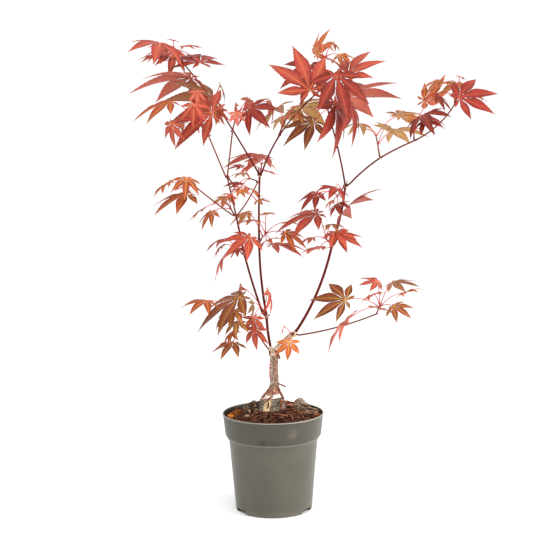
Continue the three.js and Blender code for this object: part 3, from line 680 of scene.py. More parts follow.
# Stalks, twigs and limbs

def frames_along(points):
    """A steady frame at each point of a path, turned no more than the path turns."""
    tangents = [unit(b - a) for a, b in zip(points, points[1:])]
    tangents.append(tangents[-1])
    right, _ = frame_across(tangents[0])
    frames = []
    for point, tangent in zip(points, tangents):
        right = across(right, tangent)
        frames.append((point, right, np.cross(tangent, right)))
    return frames


def stalk_mesh(parts, path, radii, sides, **values):
    """Adds a thin closed tube along a path to a joined mesh."""
    rings = []
    angles = np.linspace(0, 2 * np.pi, sides, endpoint=False)
    for (point, right, up), radius in zip(frames_along(path), radii):
        rings.append(point + radius * (np.cos(angles)[:, None] * right + np.sin(angles)[:, None] * up))
    faces = []
    for ring in range(len(rings) - 1):
        for i in range(sides):
            a, b = ring * sides + i, ring * sides + (i + 1) % sides
            faces.append((a, b, b + sides, a + sides))
    faces.append(tuple(range(sides))[::-1])
    faces.append(tuple((len(rings) - 1) * sides + i for i in range(sides)))
    start = parts.count
    parts.add(np.concatenate(rings), [tuple(start + i for i in face) for face in faces], **values)


# Radii along a spray's twig, which starts inside its limb, and along a leaf stalk, in millimetres
TWIG_RADII = (0.9, 1.15, 0.95, 0.9, 0.85, 0.85, 0.7)
STALK_RADII = (0.95, 0.66, 0.55, 0.5, 0.48, 0.48, 0.5, 0.55, 0.75)


def build_stalks(sprays, limbs):
    """Leaf stalks, the twigs that carry them, buds at the forks, fresh shoots and dead stubs."""
    stalks, twigs, buds = Parts("flush"), Parts("flush"), Parts("flush")
    for spray in sprays:
        random = random_from(spray.seed + SEED.stalks)
        joint = limbs[spray.source].line.tip
        path = [joint] + [spray.stem.at(t) for t in np.linspace(0, 1, len(TWIG_RADII) - 1)]
        stalk_mesh(twigs, path, TWIG_RADII, 8, flush=random())
        add_bud(buds, spray.stem.at(0.98), spray.stem.slope(1), random)
        for leaf in spray.leaves:
            path = [leaf.stalk.at(t) for t in np.linspace(0, 1, len(STALK_RADII))]
            stalk_mesh(stalks, path, STALK_RADII, 6, flush=random())
    random = random_from(SEED.buds)
    for limb in limbs.values():
        ahead = limb.line.slope(1)
        side, _ = frame_across(ahead)
        for turned in (-1, 1):
            add_bud(buds, limb.line.tip + turned * limb.radii[1] * side, turned * side + ahead, random)
    for path in FRESH_SHOOTS:
        stalk_mesh(stalks, bent_path(path), [0.5] * (len(path) - 1) + [0.25], 6, flush=0.0)
    for path in DEAD_STUBS:
        stalk_mesh(twigs, bent_path(path), [0.9, 0.7, 0.4], 8, flush=1.0)
    for name, parts, finish, fresh, old in (
        ("leaf_stalks", stalks, "leaf_stalk", "d04c46", "a42c28"),
        ("spray_twigs", twigs, "young_twig", "8a3226", "5a1a14"),
        ("buds", buds, "bud_scales", "8c2a22", "4e1614"),
    ):
        finish_piece(name, parts.mesh(name), stalk_material(finish, fresh, old), "foliage")


def bent_path(points):
    return [np.array(point, float) for point in points]


def add_bud(parts, foot, toward, random):
    """A small pointed bud."""
    toward = unit(toward)
    length = 2.6 + 1.2 * random()
    path = [foot + toward * length * share for share in (0, 0.3, 0.65, 1)]
    stalk_mesh(parts, path, [0.6, 0.95, 0.7, 0.15], 8, flush=random())


def stalk_material(name, fresh, old):
    """Smooth young bark: waxy, finely streaked along its length."""
    material, tree, shader = new_material(name)
    flush = node(tree, "Attribute", None, "Fac", attribute_name="flush")
    place = node(tree, "TexCoord", None, "Object")
    streaks = node(tree, "TexNoise", {"Vector": place, "Scale": fineness(2), "Detail": 3.0})
    share = node(tree, "Math", {0: flush, 1: streaks}, operation="ADD")
    share = node(tree, "Math", {0: share, 1: 0.5}, operation="MULTIPLY")
    colour = node(tree, "Mix", {0: share, 6: fresh, 7: old}, 2, **TINT)
    bump = node(tree, "Bump", {"Height": streaks, "Distance": 0.1 * MM, "Strength": 0.6})
    feed(tree, shader, {"Base Color": colour, "Roughness": 0.42, "IOR": 1.4, "Specular IOR Level": 0.25})
    feed(tree, shader, {"Normal": bump})
    return material


def sweep(bm, path, radii, sides):
    """A round limb: a ring extruded from point to point of a path and closed at both ends."""
    frames = frames_along(path)
    matrices = []
    for (point, right, up), radius in zip(frames, radii):
        turn = Matrix((right, up, np.cross(right, up))).transposed()
        place = Matrix.Translation(Vector(point * MM))
        matrices.append(place @ turn.to_4x4() @ Matrix.Scale(radius * MM, 4))
    made = bmesh.ops.create_circle(bm, cap_ends=True, segments=sides, radius=1, matrix=matrices[0])["verts"]
    ring = set(made)
    edges = [edge for edge in bm.edges if edge.verts[0] in ring and edge.verts[1] in ring]
    for before, after in zip(matrices, matrices[1:]):
        grown = bmesh.ops.extrude_edge_only(bm, edges=edges)["geom"]
        edges = [part for part in grown if isinstance(part, bmesh.types.BMEdge)]
        edges = [edge for edge in edges if all(v in grown for v in edge.verts)]
        verts = [part for part in grown if isinstance(part, bmesh.types.BMVert)]
        bmesh.ops.transform(bm, matrix=after @ before.inverted(), verts=verts)
        made += verts
    bmesh.ops.holes_fill(bm, edges=edges)
    return made


def set_values(bm, verts, **values):
    """Keeps values on points of a bmesh, for its material."""
    for name, value in values.items():
        layer = bm.verts.layers.float.get(name)
        for vert in verts:
            vert[layer] = value


# How deep the limbs at the top of the trunk start inside it
ROOTED = 6.0


def limb_path(limb, limbs):
    """A limb's middle line, which starts inside what the limb grows from."""
    if limb.source in limbs:
        start = limbs[limb.source].line.tip
    else:
        start = limb.line.foot - ROOTED * UP
    steps = max(6, round(limb.line.span / 5))
    return [start] + [limb.line.at(t) for t in np.linspace(0, 1, steps + 1)[1:]]


# Thin twigs are drawn a little stouter than their solids, as their bark shows. Each limb is slim along
# its length and swells at its ends, over a short way.
TWIG_SWELL = 1.15
KNOT = SimpleNamespace(slim=0.94, swell=0.3, way=1.6)
STEM_SIDES = 12


def build_stems(limbs):
    """All stems, branches and twigs, with swollen nodes where they fork."""
    bm = bmesh.new()
    for name in ("knot", "thick"):
        bm.verts.layers.float.new(name)
    names = [name for name in limbs if name != "limb_grafted"]
    for name in names:
        limb = limbs[name]
        path = limb_path(limb, limbs)
        count = len(path) - 1
        gone = [length_of(point - path[0]) for point in path]
        knots = [min(d, abs(gone[-1] - d)) for d in gone]
        radii = []
        for i, knot in enumerate(knots):
            plain = limb.radii[0] + (limb.radii[1] - limb.radii[0]) * i / count
            swell = KNOT.slim + KNOT.swell * math.exp(-knot / KNOT.way)
            radii.append(plain * (TWIG_SWELL if plain < 1 else 1) * swell)
        verts = sweep(bm, path, radii, STEM_SIDES)
        for i, knot in enumerate(knots):
            set_values(bm, verts[i * STEM_SIDES:(i + 1) * STEM_SIDES], knot=knot, thick=limb.radii[0])
        place = Matrix.Translation(Vector(path[-1] * MM))
        knob = bmesh.ops.create_icosphere(bm, subdivisions=2, radius=radii[-1] * MM, matrix=place)["verts"]
        set_values(bm, knob, knot=0.0, thick=limb.radii[1])
    bmesh.ops.recalc_face_normals(bm, faces=bm.faces[:])
    finish_piece("stems", mesh_from("stems", bm), stem_material(), "stem_bark", *names)


def stem_material():
    """Smooth maple bark: maroon and waxy on stems, rosy brown on twigs, with pale scars at the nodes."""
    material, tree, shader = new_material("young_maple_bark")
    knot = node(tree, "Attribute", None, "Fac", attribute_name="knot")
    thick = node(tree, "Attribute", None, "Fac", attribute_name="thick")
    place = node(tree, "TexCoord", None, "Object")
    drawn_out = node(tree, "Mapping", {"Vector": place, "Scale": (1, 1, 0.2)})
    streaks = node(tree, "TexNoise", {"Vector": drawn_out, "Scale": fineness(3), "Detail": 3.0})
    stem = node(tree, "Mix", {0: streaks, 6: "380504", 7: "761c14"}, 2, **TINT)
    twig = node(tree, "Mix", {0: streaks, 6: "56160f", 7: "8c4434"}, 2, **TINT)
    is_stem = node(tree, "MapRange", {0: thick, 1: 0.9, 2: 1.3, 3: 0.0, 4: 1.0}, **SOFT)
    spots = node(tree, "TexNoise", {"Vector": place, "Scale": fineness(0.9), "Detail": 1.0})
    spots = node(tree, "MapRange", {0: spots, 1: 0.66, 2: 0.74, 3: 0.0, 4: 0.5}, **SOFT)
    scar = node(tree, "MapRange", {0: knot, 1: 0.5, 2: 2.2, 3: 0.9, 4: 0.0}, **SOFT)
    worn = node(tree, "MapRange", {0: streaks, 1: 0.35, 2: 0.6, 3: 0.0, 4: 1.0}, **SOFT)
    scar = node(tree, "Math", {0: scar, 1: worn}, operation="MULTIPLY")
    colour = twig
    for share, tint in ((is_stem, stem), (spots, "a58672"), (scar, "c2ad96")):
        colour = node(tree, "Mix", {0: share, 6: colour, 7: tint}, 2, **TINT)
    relief = node(tree, "Math", {0: streaks, 1: spots}, operation="ADD")
    bump = node(tree, "Bump", {"Height": relief, "Distance": 0.15 * MM, "Strength": 0.6})
    feed(tree, shader, {"Base Color": colour, "Roughness": 0.5, "IOR": 1.4, "Specular IOR Level": 0.12})
    feed(tree, shader, {"Normal": bump})
    return material


# Trunk

# Trunk sections from just under the mix to the fork: height, middle in x, radius in x, radius in y
TRUNK = [
    (123, -2, 15.6, 13.4),
    (128, -2, 15.2, 13),
    (136, -2, 14.4, 12),
    (141, -1.4, 15.6, 12.4),
    (145, -0.9, 15.4, 12.2),
    (148, -0.2, 13.2, 10.8),
    (151.5, 0.6, 10.9, 9.4),
    (154.5, 1.2, 8.8, 8.0),
    (157.5, 1.6, 7.1, 6.8),
    (161, 1.9, 6.0, 5.8),
    (168, 2.2, 5.4, 5.2),
    (186, 2, 5.0, 5.0),
    (197, 2.2, 5.4, 5.2),
    (203, 2.5, 6.0, 5.4),
]
# Lumps of the old stump, roots and graft: middle and radius
LUMPS = [
    ((-11, -5, 130), 6.8),
    ((7, -6, 129), 6.4),
    ((-3, 9, 130), 8),
    ((11, 3, 132), 5.5),
    ((-12.5, -3, 143), 4.2),
    ((-3, -7, 136), 6.4),
    ((10.5, -4, 144), 4.6),
    ((1.6, 0.4, 201), 4.8),
    ((28, -4, 228), 4.3),
    ((-1.5, 0, 205), 2.6),
]
# Thin pieces grown on to the trunk: a line of points and a radius
RED_STRANDS = [
    ([(6.4, -5, 160), (9.6, -6.6, 153.5), (12.4, -6.6, 147)], 1.0),
    ([(10.6, -10.6, 144), (10.4, -11.6, 137), (11.4, -11.6, 127)], 1.15),
    ([(-4.5, -6, 157), (-9.5, -8, 151.5), (-13.4, -8, 147)], 0.8),
    ([(-0.5, -10.6, 148.5), (-5, -11.4, 145.4), (-9.8, -11.2, 141.5)], 0.7),
    ([(5.0, -4.6, 205.5), (7.2, -5.6, 202), (9.2, -5.4, 196.6)], 1.3),
    ([(5, -3, 164.6), (10, -4, 162.6), (16.4, -4, 160)], 0.75),
]
# Tiny fresh shoots on the left edge of the trunk, and dead stubs at two forks
FRESH_SHOOTS = [
    [(-2.8, -3.4, 166), (-3.8, -3, 176), (-3.6, -3, 188), (-2.8, -3.6, 196)],
    [(-3.4, -3, 172), (-5.4, -3, 174)],
    [(-3.6, -3, 183.5), (-5.8, -3, 185.5)],
    [(-3.4, -3, 178), (-5.2, -3.4, 177)],
]
DEAD_STUBS = [
    [(92.4, -10.6, 411), (94, -10, 416), (95.8, -9, 422)],
    [(-13.4, 25, 424), (-14.6, 24, 431), (-16, 23, 438)],
]
# Zones of the bark. The patch of bare wood and the slot in it lean with height, from their middle at one
# height, and the graft's wax rises to the right.
BARE_WOOD = SimpleNamespace(middle=-7.2, half=4.7, foot=(128.5, 130), top=145.5)
SLOT = SimpleNamespace(middle=-6.6, half=1.3, foot=(132, 134), top=142)
PATCH_LEAN = SimpleNamespace(share=0.22, height=137)
WAX = SimpleNamespace(height=146.2, rise=0.09, above=1.8, half=2.6)
# Painted shadow: a dark line just under the graft's wax, laid on with the black zone
WAX_SHADOW = SimpleNamespace(below=1.6, half=1.1, strength=0.8)
RED_TO = 163
DOTS = SimpleNamespace(edge=1.4, foot=(160, 164), top=200)
PALE_FROM = (195, 203)
GRAFT_KNOB = ((28.5, -4, 229), 7.0)
BLACK_SPOTS = [((-3.4, -4.2, 205), 2.4), ((25.4, -7.2, 227.4), 2.1)]


def ragged(point, millimetres):
    """Noise from -1 to 1 that frays the borders of the trunk's zones."""
    return noise.noise(Vector(point) / millimetres)


def step(value, low, high):
    """From 0 at low to 1 at high, smoothly."""
    share = min(1.0, max(0.0, (value - low) / (high - low)))
    return share * share * (3 - 2 * share)


def off_line(point, line):
    """How far a point is from the nearest piece of a bent line."""
    nearest = math.inf
    for a, b in zip(line, line[1:]):
        a, b = Vector(a), Vector(b)
        share = min(1.0, max(0.0, (point - a).dot(b - a) / (b - a).length_squared))
        nearest = min(nearest, (point - a - share * (b - a)).length)
    return nearest


def trunk_zones(x, y, z):
    """How far a point of the trunk belongs to each zone of its bark, and to the painted shadow under the
    graft's wax.
    """
    place = (x, y, z)
    fray = 1.6 * ragged(place, 3.5)
    front = step(-y, -1, 4)
    leaned = PATCH_LEAN.share * (z - PATCH_LEAN.height)
    bare = step(BARE_WOOD.half - abs(x - BARE_WOOD.middle - leaned + 0.4 * fray), 0, 0.9)
    bare *= step(z + fray, *BARE_WOOD.foot) * step(BARE_WOOD.top + fray - z, 0, 1.5) * front
    slot = step(SLOT.half - abs(x - SLOT.middle - leaned), 0, 0.8)
    slot *= step(z, *SLOT.foot) * step(SLOT.top - z, 0, 2) * front
    graft = WAX.height + WAX.rise * x
    wax = step(WAX.half - abs(z - graft - WAX.above + 1.1 * fray), 0, 0.8)
    wax *= step(ragged((x, y, z + 40), 4), -0.62, -0.4)
    # Painted shadow under the wax, on the trunk's right half, which darkens the black zone
    shadow = step(WAX_SHADOW.half - abs(z - graft + WAX_SHADOW.below), 0, 0.8) * step(x, -1, 3)
    stump = step(graft - 0.6 + fray - z, 0, 1.6)
    strand = max(step(radius + 0.7 - off_line(Vector(place), line), 0, 0.6) for line, radius in RED_STRANDS)
    black = max(step(reach - math.dist(place, spot), 0, 0.9) for spot, reach in BLACK_SPOTS)
    black = max(black, slot, WAX_SHADOW.strength * shadow)
    return {
        "red": step(RED_TO + 2 * fray - z, 0, 9) * (1 - stump),
        "dots": step(DOTS.edge + fray - x, 0, 3) * step(z, *DOTS.foot) * step(DOTS.top - z, 0, 4),
        "stump": stump,
        "pale": step(z + 2 * fray, *PALE_FROM),
        "wax": wax,
        "bare": bare * (1 - slot),
        "knob": step(GRAFT_KNOB[1] - math.dist(place, GRAFT_KNOB[0]), 0, 1.6),
        "strand": strand,
        "black": black * (1 - strand),
    }


# Each zone of the trunk, in the order in which they are laid on: the pattern that its two tones follow,
# long cracks or grit, then its dark and its light tone
ZONE_TONES = {
    "red": ("cracks", "6a3a2c", "b88a76"),
    "dots": ("grit", "2e241e", "d8ccbc"),
    "stump": ("grit", "2c251e", "9a8c7a"),
    "pale": ("cracks", "9a7c68", "e6d4c0"),
    "wax": ("cracks", "d4ccbe", "f4efe4"),
    "bare": ("cracks", "c49c62", "f0dcae"),
    "knob": ("cracks", "c8b290", "efe4c8"),
    "strand": ("cracks", "4c2014", "98563c"),
    # The black zone also carries the painted shadow under the graft's wax
    "black": ("cracks", "120d0b", "2a211c"),
}
# Radii along the grafted limb from inside the trunk to its tip, and how far the foot of a stem flares
GRAFTED_RADII = (4.6, 4.3, 3.9, 3.7, 3.6, 3.5, 3.4, 3.4, 3.5, 3.6)
FOOT_FLARE = (2.2, 1.7, 1.2, 0.7)


def trunk_core():
    """The trunk and its lumps as rough overlapping forms."""
    bm = bmesh.new()
    before = section_place(*TRUNK[0])
    bmesh.ops.create_circle(bm, cap_ends=True, segments=32, radius=1, matrix=before)
    edges = list(bm.edges)
    for section in TRUNK[1:]:
        grown = bmesh.ops.extrude_edge_only(bm, edges=edges)["geom"]
        verts = [part for part in grown if isinstance(part, bmesh.types.BMVert)]
        edges = [part for part in grown if isinstance(part, bmesh.types.BMEdge)]
        after = section_place(*section)
        bmesh.ops.transform(bm, matrix=after @ before.inverted(), verts=verts)
        before = after
    bmesh.ops.holes_fill(bm, edges=edges)
    for middle, radius in LUMPS:
        place = Matrix.Translation(Vector(middle) * MM)
        bmesh.ops.create_icosphere(bm, subdivisions=3, radius=radius * MM, matrix=place)
    return bm


def section_place(height, middle, wide, deep):
    """Where a section of the trunk lies, and how wide and deep it is."""
    place = Matrix.Translation((middle * MM, 0, height * MM))
    return place @ Matrix.Diagonal((wide * MM, deep * MM, 1, 1))


def remeshed(name, bm, voxel):
    """One closed skin round everything in a bmesh."""
    holder = placed(name + "_rough", mesh_from(name + "_rough", bm))
    remesh = holder.modifiers.new("skin", "REMESH")
    remesh.mode = "VOXEL"
    remesh.voxel_size = voxel * MM
    skin = bpy.data.meshes.new_from_object(holder.evaluated_get(bpy.context.evaluated_depsgraph_get()))
    bpy.data.objects.remove(holder)
    bm = bmesh.new()
    bm.from_mesh(skin)
    bpy.data.meshes.remove(skin)
    return bm


# How far the bark stands out in millimetres: ridges and roughness all over, then what each zone adds
RELIEF = SimpleNamespace(ridge=0.3, rough=0.16, dots=0.35, stump=0.55, lumps=0.9, bare=-0.8, black=-1.3,
                         wax=0.5, strand=0.3)


def carve_trunk(bm):
    """Bark relief: knobbly stump, a sunk patch of bare wood and fine lengthwise ridges."""
    zones = {}
    for vert in bm.verts:
        x, y, z = vert.co / MM
        zone = trunk_zones(x, y, z)
        turn = math.atan2(y, x - 2)
        ridge = noise.noise(Vector((3.2 * math.cos(turn), 3.2 * math.sin(turn), z / 14)))
        rough = noise.noise(Vector((x, y, z)) / 2.2)
        lump = noise.noise(Vector((x, y, z)) / 6)
        lift = RELIEF.ridge * ridge + RELIEF.rough * rough + zone["dots"] * RELIEF.dots * rough
        lift += zone["stump"] * (RELIEF.stump * rough + RELIEF.lumps * lump)
        lift += RELIEF.bare * zone["bare"] + RELIEF.black * zone["black"]
        lift += RELIEF.wax * zone["wax"] + RELIEF.strand * zone["strand"]
        vert.co += vert.normal * lift * MM
        zones[vert.index] = zone
    for name in ZONE_TONES:
        layer = bm.verts.layers.float.new(name)
        for vert in bm.verts:
            vert[layer] = zones[vert.index][name]


def build_trunk(limbs):
    """The trunk with its grafted limb, the flared feet of two stems and the red strands, in one skin."""
    bm = trunk_core()
    grafted = limbs["limb_grafted"]
    path = [np.array([2.4, 0.0, 194.0])]
    path += [grafted.line.at(t) for t in np.linspace(0, 1, len(GRAFTED_RADII) - 1)]
    sweep(bm, path, GRAFTED_RADII, 20)
    for name in ("stem_middle_low", "twig_low_left"):
        limb = limbs[name]
        path = [limb.line.foot - ROOTED * UP] + [limb.line.at(t) for t in (0.03, 0.12, 0.2)]
        sweep(bm, path, [flare * limb.radii[0] for flare in FOOT_FLARE], STEM_SIDES)
    for line, radius in RED_STRANDS:
        sweep(bm, bent_path(line), [radius] * len(line), STEM_SIDES)
    bm = remeshed("trunk", bm, 0.5)
    for _ in range(3):
        bmesh.ops.smooth_vert(bm, verts=bm.verts[:], factor=0.5,
                              use_axis_x=True, use_axis_y=True, use_axis_z=True)
    bm.normal_update()
    bm.verts.index_update()
    carve_trunk(bm)
    mesh = mesh_from("trunk_bark", bm)
    finish_piece("trunk_bark", mesh, trunk_material(), "trunk_bark", "trunk", "limb_grafted")


def trunk_material():
    """Maple bark of several ages: a corky stump, bare cream wood, graft wax with a painted shadow under
    it, and a finely cracked grey brown shaft."""
    material, tree, shader = new_material("weathered_maple_bark")
    place = node(tree, "TexCoord", None, "Object")
    drawn_out = node(tree, "Mapping", {"Vector": place, "Scale": (1, 1, 0.35)})
    cracks = node(tree, "TexNoise", {"Vector": drawn_out, "Scale": fineness(1.5), "Detail": 4.0})
    patches = node(tree, "TexNoise", {"Vector": place, "Scale": fineness(5), "Detail": 3.0})
    specks = node(tree, "TexNoise", {"Vector": place, "Scale": fineness(1.3), "Detail": 2.0})
    sharp = node(tree, "MapRange", {0: cracks, 1: 0.36, 2: 0.66, 3: 0.0, 4: 1.0}, **SOFT)
    grit = node(tree, "MapRange", {0: specks, 1: 0.38, 2: 0.62, 3: 0.0, 4: 1.0}, **SOFT)
    worn = node(tree, "MapRange", {0: patches, 1: 0.48, 2: 0.7, 3: 0.0, 4: 0.5}, **SOFT)
    colour = "5e4435"
    for share, tint in ((sharp, "a68772"), (worn, "8a5a48")):
        colour = node(tree, "Mix", {0: share, 6: colour, 7: tint}, 2, **TINT)
    patterns = {"cracks": sharp, "grit": grit}
    for name, (pattern, dark, light) in ZONE_TONES.items():
        zone = node(tree, "Attribute", None, "Fac", attribute_name=name)
        tone = node(tree, "Mix", {0: patterns[pattern], 6: dark, 7: light}, 2, **TINT)
        colour = node(tree, "Mix", {0: zone, 6: colour, 7: tone}, 2, **TINT)
    bump = node(tree, "Bump", {"Height": cracks, "Distance": 0.5 * MM, "Strength": 0.6})
    feed(tree, shader, {"Base Color": colour, "Roughness": 0.8, "IOR": 1.4, "Normal": bump})
    return material


# Pot

POT = SimpleNamespace(
    height=126.0,
    rim=65.0,
    lip_height=1.6,
    lip_depth=0.8,
    band_foot=61.3,
    band_foot_height=95.5,
    ledge=((61.5, 99.2), (61.2, 98.0), (60.6, 97.1), (59.8, 96.7), (59.3, 96.3), (59.15, 95.6), (58.7, 94.2),
           (57.9, 92.6), (57.0, 90.8)),
    body_top=56.5,
    body_top_height=88.0,
    foot=49.0,
    wall=1.1,
    floor=3.0,
    steps=144,
)
NOTCH = SimpleNamespace(turns=(-150, -30, 90), width=20.0, flare=2.5, height=5.4, depth=12.0)
CHANNEL = SimpleNamespace(width=8.0, flare=0.0, height=1.4, inner=14.0)


def spun(profile, steps):
    """A closed shell of revolution from a profile of radius and height in millimetres."""
    bm = bmesh.new()
    verts = [bm.verts.new((radius * MM, 0, z * MM)) for radius, z in profile]
    edges = [bm.edges.new(pair) for pair in zip(verts, verts[1:])]
    bmesh.ops.spin(bm, geom=verts + edges, cent=(0, 0, 0), axis=(0, 0, 1), angle=2 * math.pi,
                   steps=steps, use_merge=True)
    bmesh.ops.remove_doubles(bm, verts=bm.verts[:], dist=TINY)
    bmesh.ops.recalc_face_normals(bm, faces=bm.faces[:])
    return bm


# How far the blocks that cut the foot reach below the pot, the power by which a notch flares towards its
# foot, and the round of its upper corners
CUT = SimpleNamespace(below=2, flare_power=2.2, corner=0.8)


def cutter(shape, inner, outer, turn):
    """A block that cuts a notch or a channel under the pot, wider at its foot by its flare on each side."""
    bm = bmesh.new()
    size = Matrix.Diagonal(((outer - inner) * MM, shape.width * MM, (shape.height + CUT.below) * MM, 1))
    place = Matrix.Translation(((inner + outer) / 2 * MM, 0, (shape.height - CUT.below) / 2 * MM))
    bmesh.ops.create_cube(bm, size=1, matrix=place @ size)
    upright = [edge for edge in bm.edges if abs(edge.verts[0].co.z - edge.verts[1].co.z) > TINY]
    bmesh.ops.subdivide_edges(bm, edges=upright, cuts=6, use_grid_fill=True)
    for vert in bm.verts:
        drop = min(1.0, max(0.0, 1 - vert.co.z / MM / shape.height))
        vert.co.y += math.copysign(shape.flare * drop ** CUT.flare_power * MM, vert.co.y)
    lid = [edge for edge in bm.edges
           if min(edge.verts[0].co.z, edge.verts[1].co.z) > shape.height * MM - TINY
           and edge.verts[0].co.y * edge.verts[1].co.y > 0]
    bmesh.ops.bevel(bm, geom=lid, offset=CUT.corner * MM, offset_type="OFFSET", affect="EDGES", segments=3,
                    profile=0.5, material=-1)
    spin = Matrix.Rotation(math.radians(turn), 3, "Z")
    bmesh.ops.rotate(bm, cent=(0, 0, 0), matrix=spin, verts=bm.verts[:])
    return placed("cut", mesh_from("cut", bm))


def pot_profile():
    """Half the pot's section, from the middle of its underside round the lip to the middle of its floor."""
    return [
        (0, 0),
        (POT.foot - 1.6, 0),
        (POT.foot - 0.5, 0.5),
        (POT.foot, 1.6),
        (POT.body_top, POT.body_top_height - 0.4),
        *reversed(POT.ledge),
        (POT.rim - POT.lip_depth, POT.height - POT.lip_height - 1.0),
        (POT.rim - 0.35, POT.height - POT.lip_height - 0.5),
        (POT.rim, POT.height - 1.4),
        (POT.rim - 0.05, POT.height - 0.9),
        (POT.rim - 0.3, POT.height - 0.35),
        (POT.rim - 0.8, POT.height),
        (POT.rim - 1.3, POT.height),
        (POT.rim - 1.7, POT.height - 0.5),
        (POT.rim - POT.lip_depth - POT.wall, POT.height - 2.5),
        (POT.band_foot - POT.wall, POT.band_foot_height + 1),
        (POT.body_top - POT.wall, POT.body_top_height + 1),
        (POT.foot - POT.wall, POT.floor),
        (0, POT.floor),
    ]


def build_pot():
    """Injection-moulded nursery pot with a deep rim band, a rolled lip and three feet."""
    pot = placed("nursery_pot", mesh_from("nursery_pot", spun(pot_profile(), POT.steps)))
    blocks = []
    for turn in NOTCH.turns:
        blocks.append(cutter(NOTCH, POT.foot - NOTCH.depth, POT.foot + 4, turn))
        blocks.append(cutter(CHANNEL, CHANNEL.inner, POT.foot - 4, turn))
    for block in blocks:
        cut = pot.modifiers.new("cut", "BOOLEAN")
        cut.operation = "DIFFERENCE"
        cut.solver = "EXACT"
        cut.object = block
    shaped = bpy.data.meshes.new_from_object(pot.evaluated_get(bpy.context.evaluated_depsgraph_get()))
    for thing in [pot, *blocks]:
        bpy.data.objects.remove(thing)
    piece = finish_piece("nursery_pot", shaped, pot_material(), "pot", "pot")
    mark_inside(piece.data)
    piece.data.shade_smooth()
    piece.data.set_sharp_from_angle(angle=math.radians(32))


def mark_inside(mesh):
    """Marks the points of the rim's inner wall, which the pot's material paints darker as shade."""
    inside = mesh.attributes.new("inside", "FLOAT", "POINT")
    rise = (POT.rim - POT.lip_depth - POT.band_foot) / (POT.height - POT.band_foot_height)
    for vert in mesh.vertices:
        outer = POT.band_foot + rise * (vert.co.z / MM - POT.band_foot_height)
        inner = vert.co.z > (POT.band_foot_height + 2) * MM and vert.co.xy.length < (outer - 0.6) * MM
        inside.data[vert.index].value = float(inner)


# Soiled places on the pot, and one painted highlight on the band: middle and reach in millimetres, colour
# and strength
SMEARS_AND_HIGHLIGHT = [
    ((-13, -60, 99), 8, "2c1c14", 0.9),
    ((-1, -61, 96.5), 10, "34241a", 0.8),
    # A painted highlight, pale, on the band's right
    ((24, -58, 111), 10, "705e50", 0.4),
    ((52, -33, 101), 6, "5c4238", 0.5),
]


def pot_material():
    """Moulded polypropylene, taupe grey: satin and faintly cloudy, soiled on the band, with painted shade on
    the band and the rim's inner wall, and painted highlights on the lip, the band's foot and the band."""
    material, tree, shader = new_material("moulded_polypropylene")
    place = node(tree, "TexCoord", None, "Object")
    height = node(tree, "SeparateXYZ", {"Vector": place}, "Z")
    # The rim's inner wall gets painted shade
    inside = node(tree, "Attribute", None, "Fac", attribute_name="inside")
    clouds = node(tree, "TexNoise", {"Vector": place, "Scale": fineness(40), "Detail": 2.0})
    specks = node(tree, "TexNoise", {"Vector": place, "Scale": fineness(0.8), "Detail": 2.0})
    level = node(tree, "Mapping", {"Vector": place, "Scale": (0.6, 0.6, 2)})
    smears = node(tree, "TexNoise", {"Vector": level, "Scale": fineness(14), "Detail": 3.0})
    foot, top = POT.band_foot_height * MM, POT.height * MM
    cloudy = node(tree, "MapRange", {0: clouds, 1: 0.3, 2: 0.7, 3: 0.0, 4: 1.0}, **SOFT)
    band = node(tree, "MapRange", {0: height, 1: foot - MM, 2: foot + MM, 3: 0.0, 4: 1.0}, **SOFT)
    grain = node(tree, "MapRange", {0: specks, 1: 0.62, 2: 0.76, 3: 0.0, 4: 0.25}, **SOFT)
    soiled = node(tree, "MapRange", {0: smears, 1: 0.58, 2: 0.74, 3: 0.0, 4: 0.7}, **SOFT)
    soiled = node(tree, "Math", {0: soiled, 1: band}, operation="MULTIPLY")
    # Painted shade: the band is darker than the body of the same plastic
    tints = [(cloudy, "504b40"), (band, "3b392d"), (inside, "35362f"), (grain, "6e6a61"), (soiled, "4a3426")]
    streaks = node(tree, "MapRange", {0: smears, 1: 0.3, 2: 0.5, 3: 0.0, 4: 1.0}, **SOFT)
    for middle, reach, tint, strength in SMEARS_AND_HIGHLIGHT:
        spot, reach = tuple(MM * number for number in middle), reach * MM
        gap = node(tree, "VectorMath", {0: place, 1: spot}, "Value", operation="DISTANCE")
        near = node(tree, "MapRange", {0: gap, 1: 0.2 * reach, 2: reach, 3: strength, 4: 0.0}, **SOFT)
        tints.append((node(tree, "Math", {0: near, 1: streaks}, operation="MULTIPLY"), tint))
    # Painted highlights: a pale line at the foot of the band, and a pale edge along the lip
    ledge = node(tree, "Math", {0: height, 1: foot - 0.7 * MM, 2: 1.1 * MM}, operation="COMPARE")
    lip = node(tree, "MapRange", {0: height, 1: top - 1.3 * MM, 2: top - 0.8 * MM, 3: 0.0, 4: 0.7}, **SOFT)
    dust = node(tree, "MapRange", {0: height, 1: 12 * MM, 2: 0.0, 3: 0.0, 4: 0.4}, **SOFT)
    dust = node(tree, "Math", {0: dust, 1: clouds}, operation="MULTIPLY")
    colour = "484439"
    for share, tint in tints + [(ledge, "605c50"), (lip, "979286"), (dust, "8a8274")]:
        colour = node(tree, "Mix", {0: share, 6: colour, 7: tint}, 2, **TINT)
    shine = node(tree, "MapRange", {0: clouds, 1: 0.3, 2: 0.7, 3: 0.36, 4: 0.46}, **SOFT)
    bump = node(tree, "Bump", {"Height": specks, "Distance": 0.04 * MM, "Strength": 0.6})
    feed(tree, shader, {"Base Color": colour, "Roughness": shine, "IOR": 1.49, "Normal": bump})
    return material


# Potting mix

SOIL = SimpleNamespace(level=120.5, crown=127.7, crown_radius=18.0, heap_radius=46.0, steps=150, rings=52)
CLODS = SimpleNamespace(coarse=6.5, fine=2.4, height=1.1, wave=0.8)
